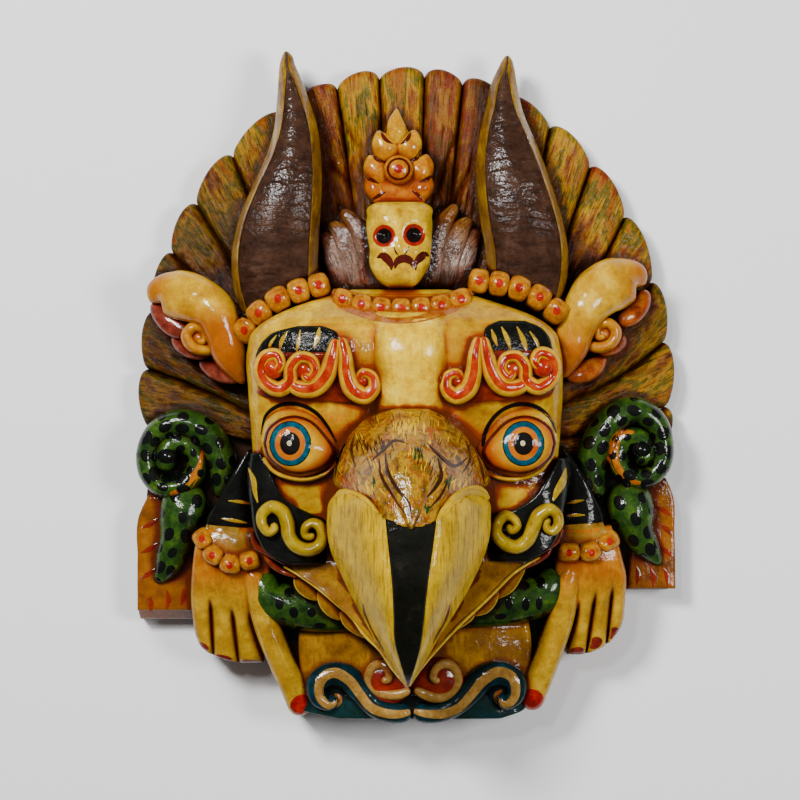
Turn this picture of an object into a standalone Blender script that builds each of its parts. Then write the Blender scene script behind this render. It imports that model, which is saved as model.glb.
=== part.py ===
"""A garuda mask carved from one block of wood, lying on its flat back, face up, horns towards +Y."""

import math

import bmesh
import bpy
import numpy as np

# Driving dimensions, in metres.
MASK_HEIGHT = 0.376  # from the long fingers' nails to the horn tips
MASK_WIDTH = 0.307  # across the two wings
MASK_DEPTH = 0.153  # from the flat back to the crest of the beak
FAN_RIM = 0.017  # thickness of the feathers at their tips
GROOVE_DEPTH = 0.008  # depth of the cut between two feathers
HORN_RISE = 0.016  # how far the horns stand above their own edges
BEAD_RADIUS = 0.0056  # beads of the forehead bands and the bracelets
HOLLOW_LENGTH = 0.165  # the scooped-out back, along the mask
HOLLOW_WIDTH = 0.118  # the scooped-out back, across the mask
HOLLOW_DEPTH = 0.056  # the scooped-out back, from the flat rim inwards

# The carving is drawn in millimetres of a mask 307 wide, 376 high and 153 deep, and stretched to those sizes.
STRETCH = np.array([MASK_WIDTH / 307, MASK_HEIGHT / 376, MASK_DEPTH / 153])
BELOW = -6  # every form is drawn down to here, and the back is then cut off flat at 0
WOOD = (0.56, 0.30, 0.05, 1)  # ochre paint under varnish, linear

for old in list(bpy.data.objects):
    bpy.data.objects.remove(old, do_unlink=True)
carving = bpy.data.collections.new("carving")
bpy.context.scene.collection.children.link(carving)


# Small tools for closed forms


def smooth(stations, count, along=(0, 1)):
    """Reads count rows, evenly by distance in the named columns, from a smooth curve through the stations."""
    keys = np.array(stations, float)
    steps = np.linalg.norm(np.diff(keys[:, list(along)], axis=0), axis=1)
    reach = np.concatenate([[0.0], np.cumsum(steps)])
    slopes = np.gradient(keys, reach, axis=0)
    at = np.linspace(0, reach[-1], count)
    i = np.clip(np.searchsorted(reach, at, side="right") - 1, 0, len(keys) - 2)
    gap = (reach[i + 1] - reach[i])[:, None]
    u = (at - reach[i])[:, None] / gap
    start = (2 * u**3 - 3 * u**2 + 1) * keys[i] + (u**3 - 2 * u**2 + u) * gap * slopes[i]
    return start + (3 * u**2 - 2 * u**3) * keys[i + 1] + (u**3 - u**2) * gap * slopes[i + 1]


def solid(name, points, faces):
    """Makes a closed form out of drawn points, kept in the carving collection for the union."""
    mesh = bpy.data.meshes.new(name)
    mesh.from_pydata((np.asarray(points, float) * STRETCH).tolist(), [], faces)
    form = bmesh.new()
    form.from_mesh(mesh)
    bmesh.ops.recalc_face_normals(form, faces=form.faces)
    form.to_mesh(mesh)
    form.free()
    piece = bpy.data.objects.new(name, mesh)
    piece.hide_render = True
    piece.display_type = "WIRE"
    carving.objects.link(piece)
    return piece


def loft(rings):
    """Faces between rings of equal length, with both ends closed."""
    size = len(rings[0])
    faces = []
    for i in range(len(rings) - 1):
        for j in range(size):
            a, b = i * size + j, i * size + (j + 1) % size
            faces.append((a, b, b + size, a + size))
    last = (len(rings) - 1) * size
    return faces + [tuple(range(size)), tuple(range(last, last + size))]


def rib(name, stations, count=0, root=4.0, arc=5):
    """A raised band along a path. A station is x, y, the level of its edge, its half width and its rise."""
    rows = smooth(stations, count) if count else np.array(stations, float)
    along = np.gradient(rows[:, :2], axis=0)
    along /= np.linalg.norm(along, axis=1)[:, None]
    turn = np.linspace(0, math.pi, arc)
    across = np.concatenate([[1], np.cos(turn), [-1]])
    rings = []
    for (x, y, edge, half, rise), (dx, dy) in zip(rows, along):
        height = np.concatenate([[root], edge + rise * np.sin(turn), [root]])
        rings.append(np.stack([x - dy * half * across, y + dx * half * across, height], 1))
    return solid(name, np.concatenate(rings), loft(rings))


def mound(name, centre, radii, edge, rise, root=4.0, sides=8, rings=2, turn=0.0, tip=0.3):
    """A dome on an oval plan."""
    x, y = centre
    angles = np.linspace(0, 2 * math.pi, sides, endpoint=False)
    levels = [(1.0, root)]
    for k in range(rings):
        climb = k * math.pi / 2 / rings
        levels.append((math.cos(climb), edge + rise * math.sin(climb)))
    levels.append((tip, edge + rise))
    points = []
    for share, height in levels:
        u, v = radii[0] * share * np.cos(angles), radii[1] * share * np.sin(angles)
        px = x + u * math.cos(turn) - v * math.sin(turn)
        py = y + u * math.sin(turn) + v * math.cos(turn)
        points.append(np.stack([px, py, np.full(sides, height)], 1))
    return solid(name, np.concatenate(points), loft(points))


def slab(name, rows, height, count, columns, root=4.0, lean=0.0, shrink=0.0):
    """A block whose top is a height over x and y. A row is y and the two ends in x, top first.

    Its foot is moved by lean towards +Y and narrowed by shrink, which undercuts it.
    """
    drawn = smooth(rows, count, along=(0,))
    share = np.sin(np.linspace(-math.pi / 2, math.pi / 2, columns))
    y = np.repeat(drawn[:, :1], columns, axis=1)
    x = (drawn[:, 1:2] + drawn[:, 2:3]) / 2 + (drawn[:, 2:3] - drawn[:, 1:2]) / 2 * share
    z = height(x, y)
    top = np.stack([x, y, z], 2).reshape(-1, 3)
    faces = []
    for i in range(count - 1):
        for j in range(columns - 1):
            a = i * columns + j
            faces.append((a, a + 1, a + columns + 1, a + columns))
    edge = [j for j in range(columns)]
    edge += [i * columns + columns - 1 for i in range(1, count)]
    edge += [(count - 1) * columns + j for j in range(columns - 2, -1, -1)]
    edge += [i * columns for i in range(count - 2, 0, -1)]
    foot = top[edge].copy()
    foot[:, 0] *= 1 - shrink
    foot[:, 1] += lean
    foot[:, 2] = root(foot[:, 1] - lean) if callable(root) else root
    first = len(top)
    ring = len(edge)
    for k in range(ring):
        n = (k + 1) % ring
        faces.append((edge[k], edge[n], first + n, first + k))
    faces.append(tuple(range(first, first + ring)))
    return solid(name, np.concatenate([top, foot]), faces)


def scroll(centre, outer, inner, start, turns, level, half, rise, steps=9):
    """Stations of a spiral that winds in from its outer radius, start and turns in whole turns."""
    stations = []
    for k in range(steps):
        share = k / (steps - 1)
        angle = 2 * math.pi * (start + turns * share)
        radius = outer + (inner - outer) * share
        thin = 1 - 0.35 * share
        stations.append(
            (centre[0] + radius * math.cos(angle), centre[1] + radius * math.sin(angle),
            level, half * thin, rise)
        )
    return stations


# Fan of feathers behind the head


def fan():
    """Feathers side by side on an oval, each crowned, with a cut between them."""
    rim = FAN_RIM / STRETCH[2]
    cut = GROOVE_DEPTH / STRETCH[2]
    # Where one feather's tip meets the next, clockwise from the lower left, in degrees from +Y.
    meets = [-98, -87, -76, -64.5, -54, -42, -28.5, -15.5, -6, 4, 12.5, 22, 33.5, 45, 57, 70.5, 82, 94, 101]
    oval = np.array([148.5, 176.3])
    head = np.array([84.0, 74.0])
    shares = [0.0, 0.14, 0.5, 0.86]
    rows = [0.0, 0.45, 0.94, 1.0]
    columns = []
    for i in range(len(meets) - 1):
        a, b = math.radians(meets[i]), math.radians(meets[i + 1])
        last = i == len(meets) - 2
        for t in shares + ([1.0] if last else []):
            angle = a + (b - a) * t
            upper = t if (a + b) > 0 else 1 - t
            bulge = math.sin(math.pi * min(max(upper, 0), 1) ** 0.75) ** 0.6 if 0 < t < 1 else 0.0
            columns.append((angle, bulge, t in (0.0, 1.0)))
    top = []
    for angle, bulge, groove in columns:
        swirl = angle * (1 + 0.22 * math.sin(angle) ** 2)
        root = np.array([math.sin(swirl), math.cos(swirl)]) * head
        reach = 1 + 0.034 * bulge
        tip = np.array([math.sin(angle), math.cos(angle)]) * oval * reach
        bend = 9.0 * math.sin(angle) if angle > 0 else -4.0 * math.sin(angle)
        side = np.array([math.cos(angle), -math.sin(angle)])
        for share in rows:
            place = root + (tip - root) * share + side * bend * math.sin(math.pi * share) * 0.5
            crest = 30 + (rim - 30) * share**0.8
            if groove:
                height = crest - cut * min(1, 0.35 + share)
            else:
                height = crest + 2.5 * (bulge**0.5) - (2.5 if share == 1.0 else 0.0)
            top.append((place[0], place[1], height))
    size = len(rows)
    wide = len(columns)
    points = list(top)
    faces = []
    for i in range(wide - 1):
        for j in range(size - 1):
            a = i * size + j
            faces.append((a, a + 1, a + size + 1, a + size))
    roots = [i * size for i in range(wide)]
    hub = len(points)
    points.append((0, -10, 30))
    for i in range(wide - 1):
        faces.append((roots[i], roots[i + 1], hub))
    loop = [i * size + size - 1 for i in range(wide)]
    loop += [(wide - 1) * size + j for j in range(size - 2, -1, -1)]
    loop += [hub]
    loop += [j for j in range(size - 1)]
    first = len(points)
    for k in loop:
        points.append((points[k][0], points[k][1], BELOW))
    for k in range(len(loop)):
        n = (k + 1) % len(loop)
        faces.append((loop[k], loop[n], first + n, first + k))
    faces.append(tuple(range(first, first + len(loop))))
    return solid("fan", points, faces)


def level(value):
    return lambda x, y: np.full(np.shape(x), float(value))


def crowned(middle, edge, half, power=2.0):
    """Height of a surface that falls from the middle to its two sides."""
    return lambda x, y: edge + (middle - edge) * np.clip(1 - np.abs(x / half) ** power, 0, 1)


def lower_plate():
    """The thin wood behind the serpents, wings, hands and base."""
    rows = [(0, -147, 147), (-50, -148, 146), (-78, -150, 149), (-112, -151, 150), (-117, -150, 150)]
    slab("lower_plate", rows, level(13), 8, 2, root=BELOW)
    rows = [(-100, -118, 120), (-125, -118, 119), (-140, -112, 110), (-148, -95, 94), (-160, -74, 76),
            (-182, -58, 62)]
    slab("lower_plate_foot", rows, level(15), 9, 2, root=BELOW)


# Head


def head_height(x, y):
    """The face before the eyes, brows and beak are set on it."""
    ys = [-100, -85, -60, -30, 0, 20, 34, 44, 54]
    front = np.interp(y, ys, [62, 68, 75, 82, 92, 96, 91, 79, 66])
    edge = np.interp(y, ys, [50, 52, 56, 58, 60, 62, 61, 59, 57])
    side = np.clip(1 - np.abs(x / 90) ** 4, 0, 1)
    socket = 5 * np.exp(-((np.abs(x) - 62) ** 2 + (y + 31) ** 2) / 500)
    return edge + (front - edge) * side**0.5 - socket


def head():
    rows = [
        (53.5, -38, 30.5),
        (50.5, -63, 58),
        (45.5, -80, 78),
        (36, -87.5, 84),
        (22, -89, 85.5),
        (-3, -88, 86.5),
        (-25, -86.5, 85.5),
        (-47.5, -85.5, 84),
        (-67, -86, 85.5),
        (-81, -84, 83),
        (-92, -78.5, 77.5),
        (-101, -66, 66.5),
    ]
    slab("head", rows, head_height, 12, 9)


def nose_boss():
    rows = [(32, -15.5, 15.5), (24, -18, 18.5), (5, -18, 18.5), (-8.5, -17, 18), (-14.5, -15, 16)]

    def height(x, y):
        away = np.clip(1 - np.abs(x / 20) ** 3, 0, 1) * np.clip(1 - np.abs((y - 6) / 27) ** 3, 0, 1)
        return 90 + 17 * away**0.6

    slab("nose_boss", rows, height, 6, 5, root=70)


def cere():
    """The soft skin over the top of the beak."""
    rows = [
        (-13, -6, 11.5),
        (-15.5, -15.5, 17),
        (-23.5, -27.5, 28),
        (-34.5, -35, 36.5),
        (-46.5, -39.5, 43.5),
        (-56.5, -40, 45),
        (-60, -28.5, 27.5),
        (-64.5, -19, 19.5),
        (-72.5, -11.5, 15.5),
        (-77, -2.5, 3.5),
    ]

    def height(x, y):
        ys = [-78, -72, -57, -46, -35, -24, -14]
        middle = np.interp(y, ys, [152.5, 153, 150, 144, 135, 122, 105])
        edge = np.interp(y, ys, [150, 148, 100, 97, 96, 96, 100])
        half = np.interp(y, ys, [8, 15, 43, 42, 37, 29, 16])
        return edge + (middle - edge) * np.clip(1 - np.abs((x - 2) / half) ** 2.2, 0, 1)

    slab("cere", rows, height, 11, 9, root=66)


def beak():
    rows = [
        (-58, -36, 36.5),
        (-61, -41, 42),
        (-69, -43, 45),
        (-81, -42.5, 44.5),
        (-91, -40.5, 41.5),
        (-101.5, -35.5, 36),
        (-113.5, -29.5, 30),
        (-127, -23, 22),
        (-140, -15.5, 14.5),
        (-151, -8, 7.5),
        (-161, -1.5, 2),
    ]

    def height(x, y):
        ys = [-162, -157, -150, -137, -120, -105, -72, -58]
        ridge = np.interp(y, ys, [118, 126, 134, 142, 148, 152, 149, 140])
        edge = np.interp(y, ys, [113, 113, 113, 113, 112, 110, 106, 104])
        flat = np.interp(y, ys, [1.0, 2.0, 4.5, 7.0, 8.5, 9.5, 13.0, 13.0])
        half = np.interp(y, ys, [3.0, 6.0, 9.5, 16.0, 24.5, 31.0, 43.5, 43.0])
        away = np.clip((np.abs(x - 1) - flat) / (half - flat), 0, 1)
        return ridge - np.where(away > 0, 1.5, 0) - (ridge - edge - 1.5) * away**1.7

    def foot(y):
        return np.interp(y, [-162, -140, -110, -60], [104, 92, 72, 60])

    slab("beak", rows, height, 12, 9, root=foot)


def jaw():
    """The gape, a plate that runs from both cheeks to a point under the beak."""
    rows = [
        (-86, -79, 77),
        (-98.5, -80.5, 78.5),
        (-113.5, -62, 59),
        (-129, -43, 39),
        (-144, -24.5, 19),
        (-155.5, -11.5, 4.5),
        (-162.5, -5, -2.5),
    ]

    def height(x, y):
        ys = [-162, -147, -131, -114, -98, -84]
        edge = np.interp(y, ys, [110, 98, 86, 74, 64, 66])
        half = np.interp(y, ys, [2, 20, 37, 57, 80, 80])
        return edge + 9 * np.clip(1 - np.abs(x / half) ** 2, 0, 1)

    slab("jaw", rows, height, 9, 7, lean=24, shrink=0.2)


def gape_edges():
    """Three leaf-shaped lobes under each side of the gape, and a whisker at its corner."""
    for i, (x, y, z) in enumerate([(-55, -111, 60), (-44, -121, 66), (-32, -132, 72)]):
        for side in (-1, 1):
            mound(f"gape_lobe_{i}_{side}", (-x * side, y), (7.5, 4),
                  z + 1, 4, sides=6, rings=1, turn=side * 0.8, tip=0.5)
    for side in (-1, 1):
        path = [(85.5 * side, -66, 54, 2.5, 4), (84 * side, -80, 56, 3.2, 5), (78 * side, -92, 56, 3.6, 6)]
        path += [(66 * side, -101, 58, 2.0, 4)]
        rib(f"whisker_{side}", path, 5, arc=3)


# Eyes, brows and cheeks


def eyes():
    for side, shift in ((-1, 0.0), (1, 0.6)):
        centre = ((60.5 + shift) * side, -31.5)
        mound(f"eyeball_{side}", centre, (17.5, 15.5), 79, 11, root=50, sides=12, rings=3, turn=-0.25 * side)
        lid = []
        for k in range(17):
            angle = math.radians(-60 + 300 * k / 16)
            corner = 1 + 0.12 * math.cos(angle - math.radians(200)) ** 8
            x = centre[0] + side * math.cos(angle) * 19.5 * corner
            y = centre[1] + math.sin(angle) * 17.5 * corner
            lid.append((x, y, 80, 2.0 + 1.2 * max(0, math.sin(angle)), 5))
        rib(f"eyelid_{side}", lid, 12, root=50, arc=3)


def brows():
    """A scroll over each eye, in three bands."""
    left = [
        [(-69.5, 7.5, 93, 3, 4), (-69, 14.5, 93, 3.6, 5), (-75.5, 15, 92, 3.8, 5), (-78.5, 7.5, 90, 4, 5),
         (-73.5, -1, 90, 4.3, 5),
         (-65, 0, 92, 4.2, 5), (-61.5, 9.5, 94, 3.8, 5), (-55, 14.5, 95, 3.6, 5), (-49.5, 9, 95, 3.4, 5),
         (-53.5, 3.5, 94, 3, 4)],
        [(-63.5, -0.5, 93, 3.6, 4), (-54, -4, 93, 4.4, 5), (-45.5, 0, 95, 4.8, 5), (-41, 11, 97, 4.2, 6),
         (-38, 24, 97, 2.6, 5)],
        [(-35.5, 25, 97, 2.8, 5), (-33, 10, 98, 3.8, 6), (-31, -2, 97, 4.4, 6), (-25, -7, 96, 4.2, 5),
         (-18.5, -2, 96, 3.6, 5),
         (-19, 4.5, 96, 3.2, 5), (-25, 6, 96, 2.8, 5), (-26, 0.5, 95, 2.4, 4)],
    ]
    right = [
        [(70.5, 9, 92, 3, 4), (71.5, 15.5, 92, 3.6, 5), (77.5, 14, 91, 3.8, 5), (78.5, 6, 89, 4, 5),
         (74.5, 0, 90, 4.3, 5),
         (67, 2.5, 92, 4.2, 5), (63, 11, 94, 3.8, 5), (57, 15, 95, 3.6, 5), (53, 9.5, 95, 3.4, 5),
         (57, 4.5, 94, 3, 4)],
        [(66.5, 1, 93, 3.6, 4), (57.5, -3.5, 93, 4.4, 5), (49, 0, 95, 4.8, 5), (44.5, 11, 97, 4.2, 6),
         (42, 24, 97, 2.6, 5)],
        [(39, 25, 97, 2.8, 5), (37, 10, 98, 3.8, 6), (35, -1.5, 97, 4.4, 6), (28, -7, 96, 4.2, 5),
         (22, -2.5, 96, 3.6, 5),
         (22.5, 4, 96, 3.2, 5), (28, 5.5, 96, 2.8, 5), (29.5, 0.5, 95, 2.4, 4)],
    ]
    for side, bands in (("left", left), ("right", right)):
        for i, stations in enumerate(bands):
            rib(f"brow_{side}_{i}", stations, (14, 5, 10)[i], root=70, arc=3)


def cheek_scrolls():
    """An S-shaped curl on a pad at each side of the beak."""
    pads = {
        "left": [(-37.5, -86, -80), (-46, -88, -74.5), (-55, -88, -67), (-64.5, -86.5, -59),
                 (-74.5, -85.5, -44.5),
                 (-85.5, -82, -42), (-94, -75, -41), (-99, -64, -42)],
        "right": [(-42, 84, 89), (-50, 78, 90), (-58, 72.5, 89), (-66, 63.5, 87), (-73.5, 48, 85),
                  (-83, 45.5, 83), (-92, 48, 75.5), (-97.5, 51.5, 66.5)],
    }
    curls = {
        "left": [(-72.5, -79.5, 80, 2.2, 4), (-78, -79.5, 80, 2.8, 5), (-80, -72, 80, 3, 5),
                 (-74, -67, 81, 3.2, 6), (-67, -73, 81, 3.2, 6),
                 (-63.5, -82, 81, 3.2, 6), (-56.5, -89, 81, 3.2, 6), (-48, -87, 81, 3.2, 6),
                 (-47, -79.5, 81, 2.8, 5), (-52, -77, 81, 2.4, 5),
                 (-53.5, -82, 80, 2, 4)],
        "right": [(58, -80, 80, 2.2, 4), (58.5, -74.5, 80, 2.6, 5), (53, -73.5, 80, 2.9, 5),
                  (49.5, -79.5, 81, 3.1, 6), (54, -87, 81, 3.2, 6),
                  (62.5, -86.5, 81, 3.2, 6), (68, -78, 81, 3.2, 6), (73, -70.5, 81, 3.2, 6),
                  (81.5, -69.5, 81, 2.9, 5), (82.5, -77, 80, 2.4, 5),
                  (78, -79, 80, 2.2, 4)],
    }
    for side in ("left", "right"):
        rows = pads[side]
        middle = -66 if side == "left" else 66

        def height(x, y, middle=middle):
            return 64 + 15 * np.clip(1 - np.abs((x - middle) / 24) ** 3, 0, 1) ** 0.6

        slab(f"cheek_pad_{side}", rows, height, 7, 5)
        rib(f"cheek_scroll_{side}", curls[side], 15, root=50, arc=3)


# Crown: horns, ears, skull, finial and bead bands


def horns():
    """Each horn is a wide flat-fronted blade with a bevel down both sides."""
    lift = HORN_RISE / STRETCH[2]
    shapes = {
        "left": [(-67.5, 187.5, 1, 22), (-67.5, 182, 7.5, 22), (-66, 173.5, 11.5, 22), (-64, 160.5, 16.5, 21),
                 (-62.5, 146.5, 21.5, 16), (-63.5, 129.5, 27.5, 9), (-67.5, 110.5, 35.5, 8),
                 (-71.5, 92.5, 41, 8),
                 (-74, 73, 43.5, 8), (-73.5, 53.5, 42, 8), (-72, 41, 38, 8)],
        "right": [(57, 185, 1, 22), (56.5, 181, 7.5, 22), (55, 169.5, 13.5, 22), (55, 155.5, 18.5, 21),
                  (56, 141.5, 26.5, 16), (58, 126.5, 33.5, 9), (61, 109.5, 38.5, 8), (64.5, 92.5, 41.5, 8),
                  (67.5, 75.5, 41.5, 8), (67.5, 56, 39.5, 8), (67, 47.5, 36.5, 8)],
    }
    for side, stations in shapes.items():
        rings = []
        rows = smooth(stations, 11)
        for k, (x, y, half, under) in enumerate(rows):
            half *= 0.558
            share = k / (len(rows) - 1)
            edge = 34 + 14 * math.sin(math.pi * share * 0.62)
            rise = lift * min(1, 0.18 + 1.6 * share)
            ring = [(-0.82, under), (-1, edge - 4), (-0.96, edge)]
            ring += [(-0.74, edge + 0.72 * rise), (-0.35, edge + 0.97 * rise)]
            ring += [(-a, z) for a, z in reversed(ring)]
            rings.append(np.array([(x + a * half, y, z) for a, z in ring]))
        solid(f"horn_{side}", np.concatenate(rings), loft(rings))


def ears():
    """Each ear is a rolled lobe with a curl beside it and three leaves below."""
    lobes = {
        "left": [(-143.5, 51.5, 39, 4, 4), (-140, 53.5, 41, 9, 7), (-132.5, 51.5, 44, 12, 10),
                 (-122.5, 46, 48, 13.5, 12), (-112, 37.5, 51, 13, 12),
                 (-103, 24.5, 53, 10, 10), (-96.5, 12.5, 53, 8, 8), (-91.5, 2.5, 50, 3, 5)],
        "right": [(133.5, 60.5, 38, 4, 4), (129, 61, 41, 9, 7), (120.5, 57, 45, 14, 11),
                  (110, 52, 49, 15.5, 12), (101, 42.5, 52, 13, 12),
                  (94.5, 30.5, 53, 10.5, 10), (92, 19.5, 53, 9, 9), (90, 6, 50, 3, 5)],
    }
    curls = {
        "left": [(-108.5, 30, 50, 3, 5), (-112.5, 34, 50, 3.2, 6), (-119, 33, 50, 3.4, 6),
                 (-121.5, 26, 50, 3.4, 6), (-117, 21.5, 50, 3.2, 6),
                 (-112.5, 25.5, 50, 3, 5), (-115.5, 28.5, 50, 2.4, 5)],
        "right": [(103, 33, 50, 3, 5), (108.5, 35.5, 50, 3.2, 6), (115, 33, 50, 3.4, 6),
                  (115.5, 26, 50, 3.4, 6), (110.5, 23.5, 50, 3.2, 6),
                  (106.5, 27.5, 50, 3, 5), (110.5, 29.5, 50, 2.4, 5)],
    }
    leaves = {
        "left": [
            [(-143.5, 47, 34, 3, 3), (-138, 39.5, 37, 5.5, 5), (-130, 33, 40, 6.5, 5),
             (-120.5, 29, 42, 4, 4)],
            [(-132.5, 27.5, 34, 2.5, 3), (-125.5, 22.5, 38, 5.5, 5), (-116, 19, 42, 5, 5),
             (-109.5, 18.5, 44, 3, 4)],
            [(-117, 13.5, 36, 2.5, 3), (-108.5, 9, 40, 5.5, 5), (-100, 6, 44, 5.5, 5),
             (-92.5, 3.5, 46, 3, 4)],
        ],
        "right": [
            [(135.5, 54, 32, 3, 3), (132.5, 45.5, 36, 5, 5), (127, 39.5, 40, 5.5, 5), (119.5, 35, 42, 4, 4)],
            [(124, 27.5, 34, 2.5, 3), (118.5, 23.5, 38, 5, 5), (112, 21, 42, 5, 5), (106.5, 19.5, 44, 3, 4)],
            [(112, 16.5, 36, 2.5, 3), (106, 10.5, 40, 5.5, 5), (97.5, 6.5, 44, 5.5, 5), (90, 4, 46, 3, 4)],
        ],
    }
    for side in ("left", "right"):
        rib(f"ear_{side}", lobes[side], 10, arc=5)
        rib(f"ear_curl_{side}", curls[side], 11, arc=3)
        for i, leaf in enumerate(leaves[side]):
            rib(f"ear_leaf_{side}_{i}", leaf, 5, arc=3)


def skull():
    rows = [(101.5, -15, 6), (99, -19.5, 12), (92, -22.5, 14.5), (82, -22.5, 14.5), (71.5, -19.5, 12.5),
            (62, -15, 10), (55.5, -10.5, 6)]

    def height(x, y):
        round_off = np.clip(1 - np.abs((x + 4) / 19.5) ** 3, 0, 1)
        round_off *= np.clip(1 - np.abs((y - 78) / 25) ** 4, 0, 1)
        holes = np.exp(-((x + 12) ** 2 + (y - 82) ** 2) / 22) + np.exp(-((x - 4) ** 2 + (y - 83) ** 2) / 22)
        return 56 + 20 * round_off**0.4 - 6 * holes

    slab("skull", rows, height, 8, 7)


def finial():
    """A flame of seven leaves round a disc, over the skull."""
    rib("finial_back", [(-4, 102, 50, 12, 5), (-4.5, 115.5, 52, 12.5, 6), (-5, 128.5, 52, 9, 6),
                        (-5.5, 138, 52, 4, 5)], 5, arc=3)
    leaves = [
        [(-6, 134.5, 54, 3, 4), (-6, 144, 55, 5, 6), (-6, 153, 54, 0.8, 3)],
        [(-8, 125.5, 54, 4, 4), (-13, 132, 54, 5.2, 6), (-17, 139, 54, 1, 3)],
        [(-1.5, 126.5, 54, 4, 4), (3, 133.5, 54, 5.2, 6), (6, 141, 54, 1, 3)],
        [(-10.5, 114.5, 54, 4, 4), (-18, 120.5, 54, 5.6, 6), (-21.5, 128.5, 54, 1.2, 3)],
        [(2.5, 115.5, 54, 4, 4), (9.5, 121.5, 54, 5.6, 6), (12, 129, 54, 1.2, 3)],
        [(-9.5, 104.5, 54, 4, 4), (-17.5, 108.5, 54, 5, 6), (-22.5, 114.5, 54, 1.5, 3)],
        [(1.5, 104.5, 54, 4, 4), (9, 108.5, 54, 5, 6), (13.5, 114.5, 54, 1.5, 3)],
    ]
    for i, leaf in enumerate(leaves):
        rib(f"finial_leaf_{i}", leaf, 4, arc=3)
    mound("finial_disc", (-5, 119.5), (6.2, 6.2), 61, 3, sides=8, rings=1, tip=0.6)


def beads(name, spots, root):
    """A string of barrel beads. A spot is the middle of a bead and the level of the string there."""
    radius = BEAD_RADIUS / STRETCH[0]
    spots = np.array(spots, float)
    steps = np.diff(spots, axis=0)
    ahead = np.concatenate([steps, steps[-1:]])
    behind = np.concatenate([steps[:1], steps])
    stations = []
    for spot, back, forth in zip(spots, behind, ahead):
        stations.append((*(spot - 0.46 * back), 0.62 * radius, 0.2 * radius))
        stations.append((*(spot - 0.24 * back), 0.98 * radius, 0.95 * radius))
        stations.append((*(spot + 0.24 * forth), 0.98 * radius, 0.95 * radius))
    stations.append((*(spots[-1] + 0.46 * ahead[-1]), 0.62 * radius, 0.2 * radius))
    rib(name, stations, root=root, arc=3)


def bands():
    """Beads over the brow and round the foot of each horn."""
    beads("beads_left", [(-49, 54, 66), (-59, 51.5, 66), (-70, 46.5, 65), (-80.5, 41, 63),
                         (-88, 32.5, 60)], 50)
    beads("beads_right", [(40, 57, 66), (50, 56.5, 66), (61, 53.5, 65), (71.5, 49.5, 64), (81, 43, 61)], 50)
    middle = [(-35.5, 47, 76), (-25, 44, 79), (-14, 42, 81), (-3, 41.5, 81), (8, 42, 81), (19, 43.5, 79),
              (30, 47, 76)]
    beads("beads_middle", middle, 50)


# Serpents, wings, sleeves and hands


def serpents():
    coils = {
        "left": [(-104.5, -65, 30, 5, 8), (-103.5, -52.5, 30, 7.5, 10), (-106.5, -38, 30, 8.5, 11),
                 (-115, -25.5, 30, 8, 11), (-128.5, -21, 30, 7.5, 10),
                 (-141, -26, 30, 6.5, 9), (-147, -37, 29, 6, 9), (-146, -49.5, 29, 6, 9),
                 (-137.5, -58, 29, 6, 9), (-126.5, -56.5, 29, 6, 9),
                 (-118.5, -46.5, 28, 6.5, 9), (-123, -34.5, 28, 6.5, 9), (-133, -33.5, 28, 6.5, 9),
                 (-137, -42.5, 29, 6.5, 9), (-130.5, -44, 30, 5, 9)],
        "right": [(108.5, -65, 30, 5, 8), (104.5, -50.5, 30, 8.5, 10), (107.5, -33.5, 30, 9, 11),
                  (116, -20.5, 30, 8.5, 11), (129, -14.5, 30, 8, 10),
                  (140.5, -20.5, 30, 7, 9), (145.5, -32.5, 29, 6, 9), (144, -45, 29, 6, 9),
                  (135.5, -53, 29, 6, 9), (125, -50.5, 29, 6, 9),
                  (119.5, -40.5, 28, 6.5, 9), (125, -29.5, 28, 6.5, 9), (134.5, -32, 28, 6, 9),
                  (134.5, -40.5, 29, 6, 9), (129, -41, 30, 5, 9)],
    }
    tails = {
        "left": [(-124, -61, 27, 12, 10), (-126.5, -74, 27, 13, 12), (-130.5, -88, 26, 10, 10),
                 (-135.5, -101.5, 24, 8, 8), (-142.5, -113, 20, 2.5, 5)],
        "right": [(123.5, -61, 27, 12, 10), (126.5, -72, 27, 13, 12), (131.5, -84.5, 26, 9.5, 10),
                  (138.5, -94.5, 24, 6.5, 8), (145, -102.5, 20, 2, 5)],
    }
    for side in ("left", "right"):
        rib(f"serpent_{side}", coils[side], 20, arc=4)
        rib(f"serpent_tail_{side}", tails[side], 6, arc=4)
    behind = [(-82.5, -104, 42, 8, 10), (-78, -119, 42, 11, 12), (-60, -125, 42, 12.5, 13),
              (-32, -127.5, 40, 12, 12), (-1, -127.5, 38, 12, 12),
              (30, -125.5, 40, 12, 12), (61, -121.5, 42, 12.5, 13), (78.5, -116.5, 42, 11, 12),
              (84, -103, 42, 8, 10)]
    rib("serpent_behind", behind, 12, arc=4)


def wings():
    """The lower end of each folded wing, a flat panel."""
    left = [(-63, -147.5, -137), (-74, -152.5, -130), (-99.5, -153.5, -122), (-128.5, -153.5, -122)]
    right = [(-53, 140, 148), (-61, 137.5, 151.5), (-84.5, 130, 153), (-116, 125.5, 153.5)]
    slab("wing_left", left, level(22), 5, 2, root=BELOW)
    slab("wing_right", right, level(22), 5, 2, root=BELOW)
    slab("wing_foot_left", [(-124, -153, -122), (-129, -153, -122), (-134, -153, -122)], level(15),
    3, 2, root=BELOW)


def sleeves():
    left = [(-37.5, -100.5, -88), (-50.5, -103.5, -84.5), (-64.5, -109, -83.5), (-78.5, -114.5, -83.5),
            (-86, -115, -83.5)]
    right = [(-41, 84, 101), (-53.5, 82.5, 104), (-64.5, 81.5, 108.5), (-76, 81.5, 111.5), (-82.5, 81.5, 112)]
    for side, rows in (("left", left), ("right", right)):
        middle = -98 if side == "left" else 97

        def height(x, y, middle=middle):
            return 36 + 11 * np.clip(1 - np.abs((x - middle) / 19) ** 2.5, 0, 1)

        slab(f"sleeve_{side}", rows, height, 5, 5)


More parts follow.
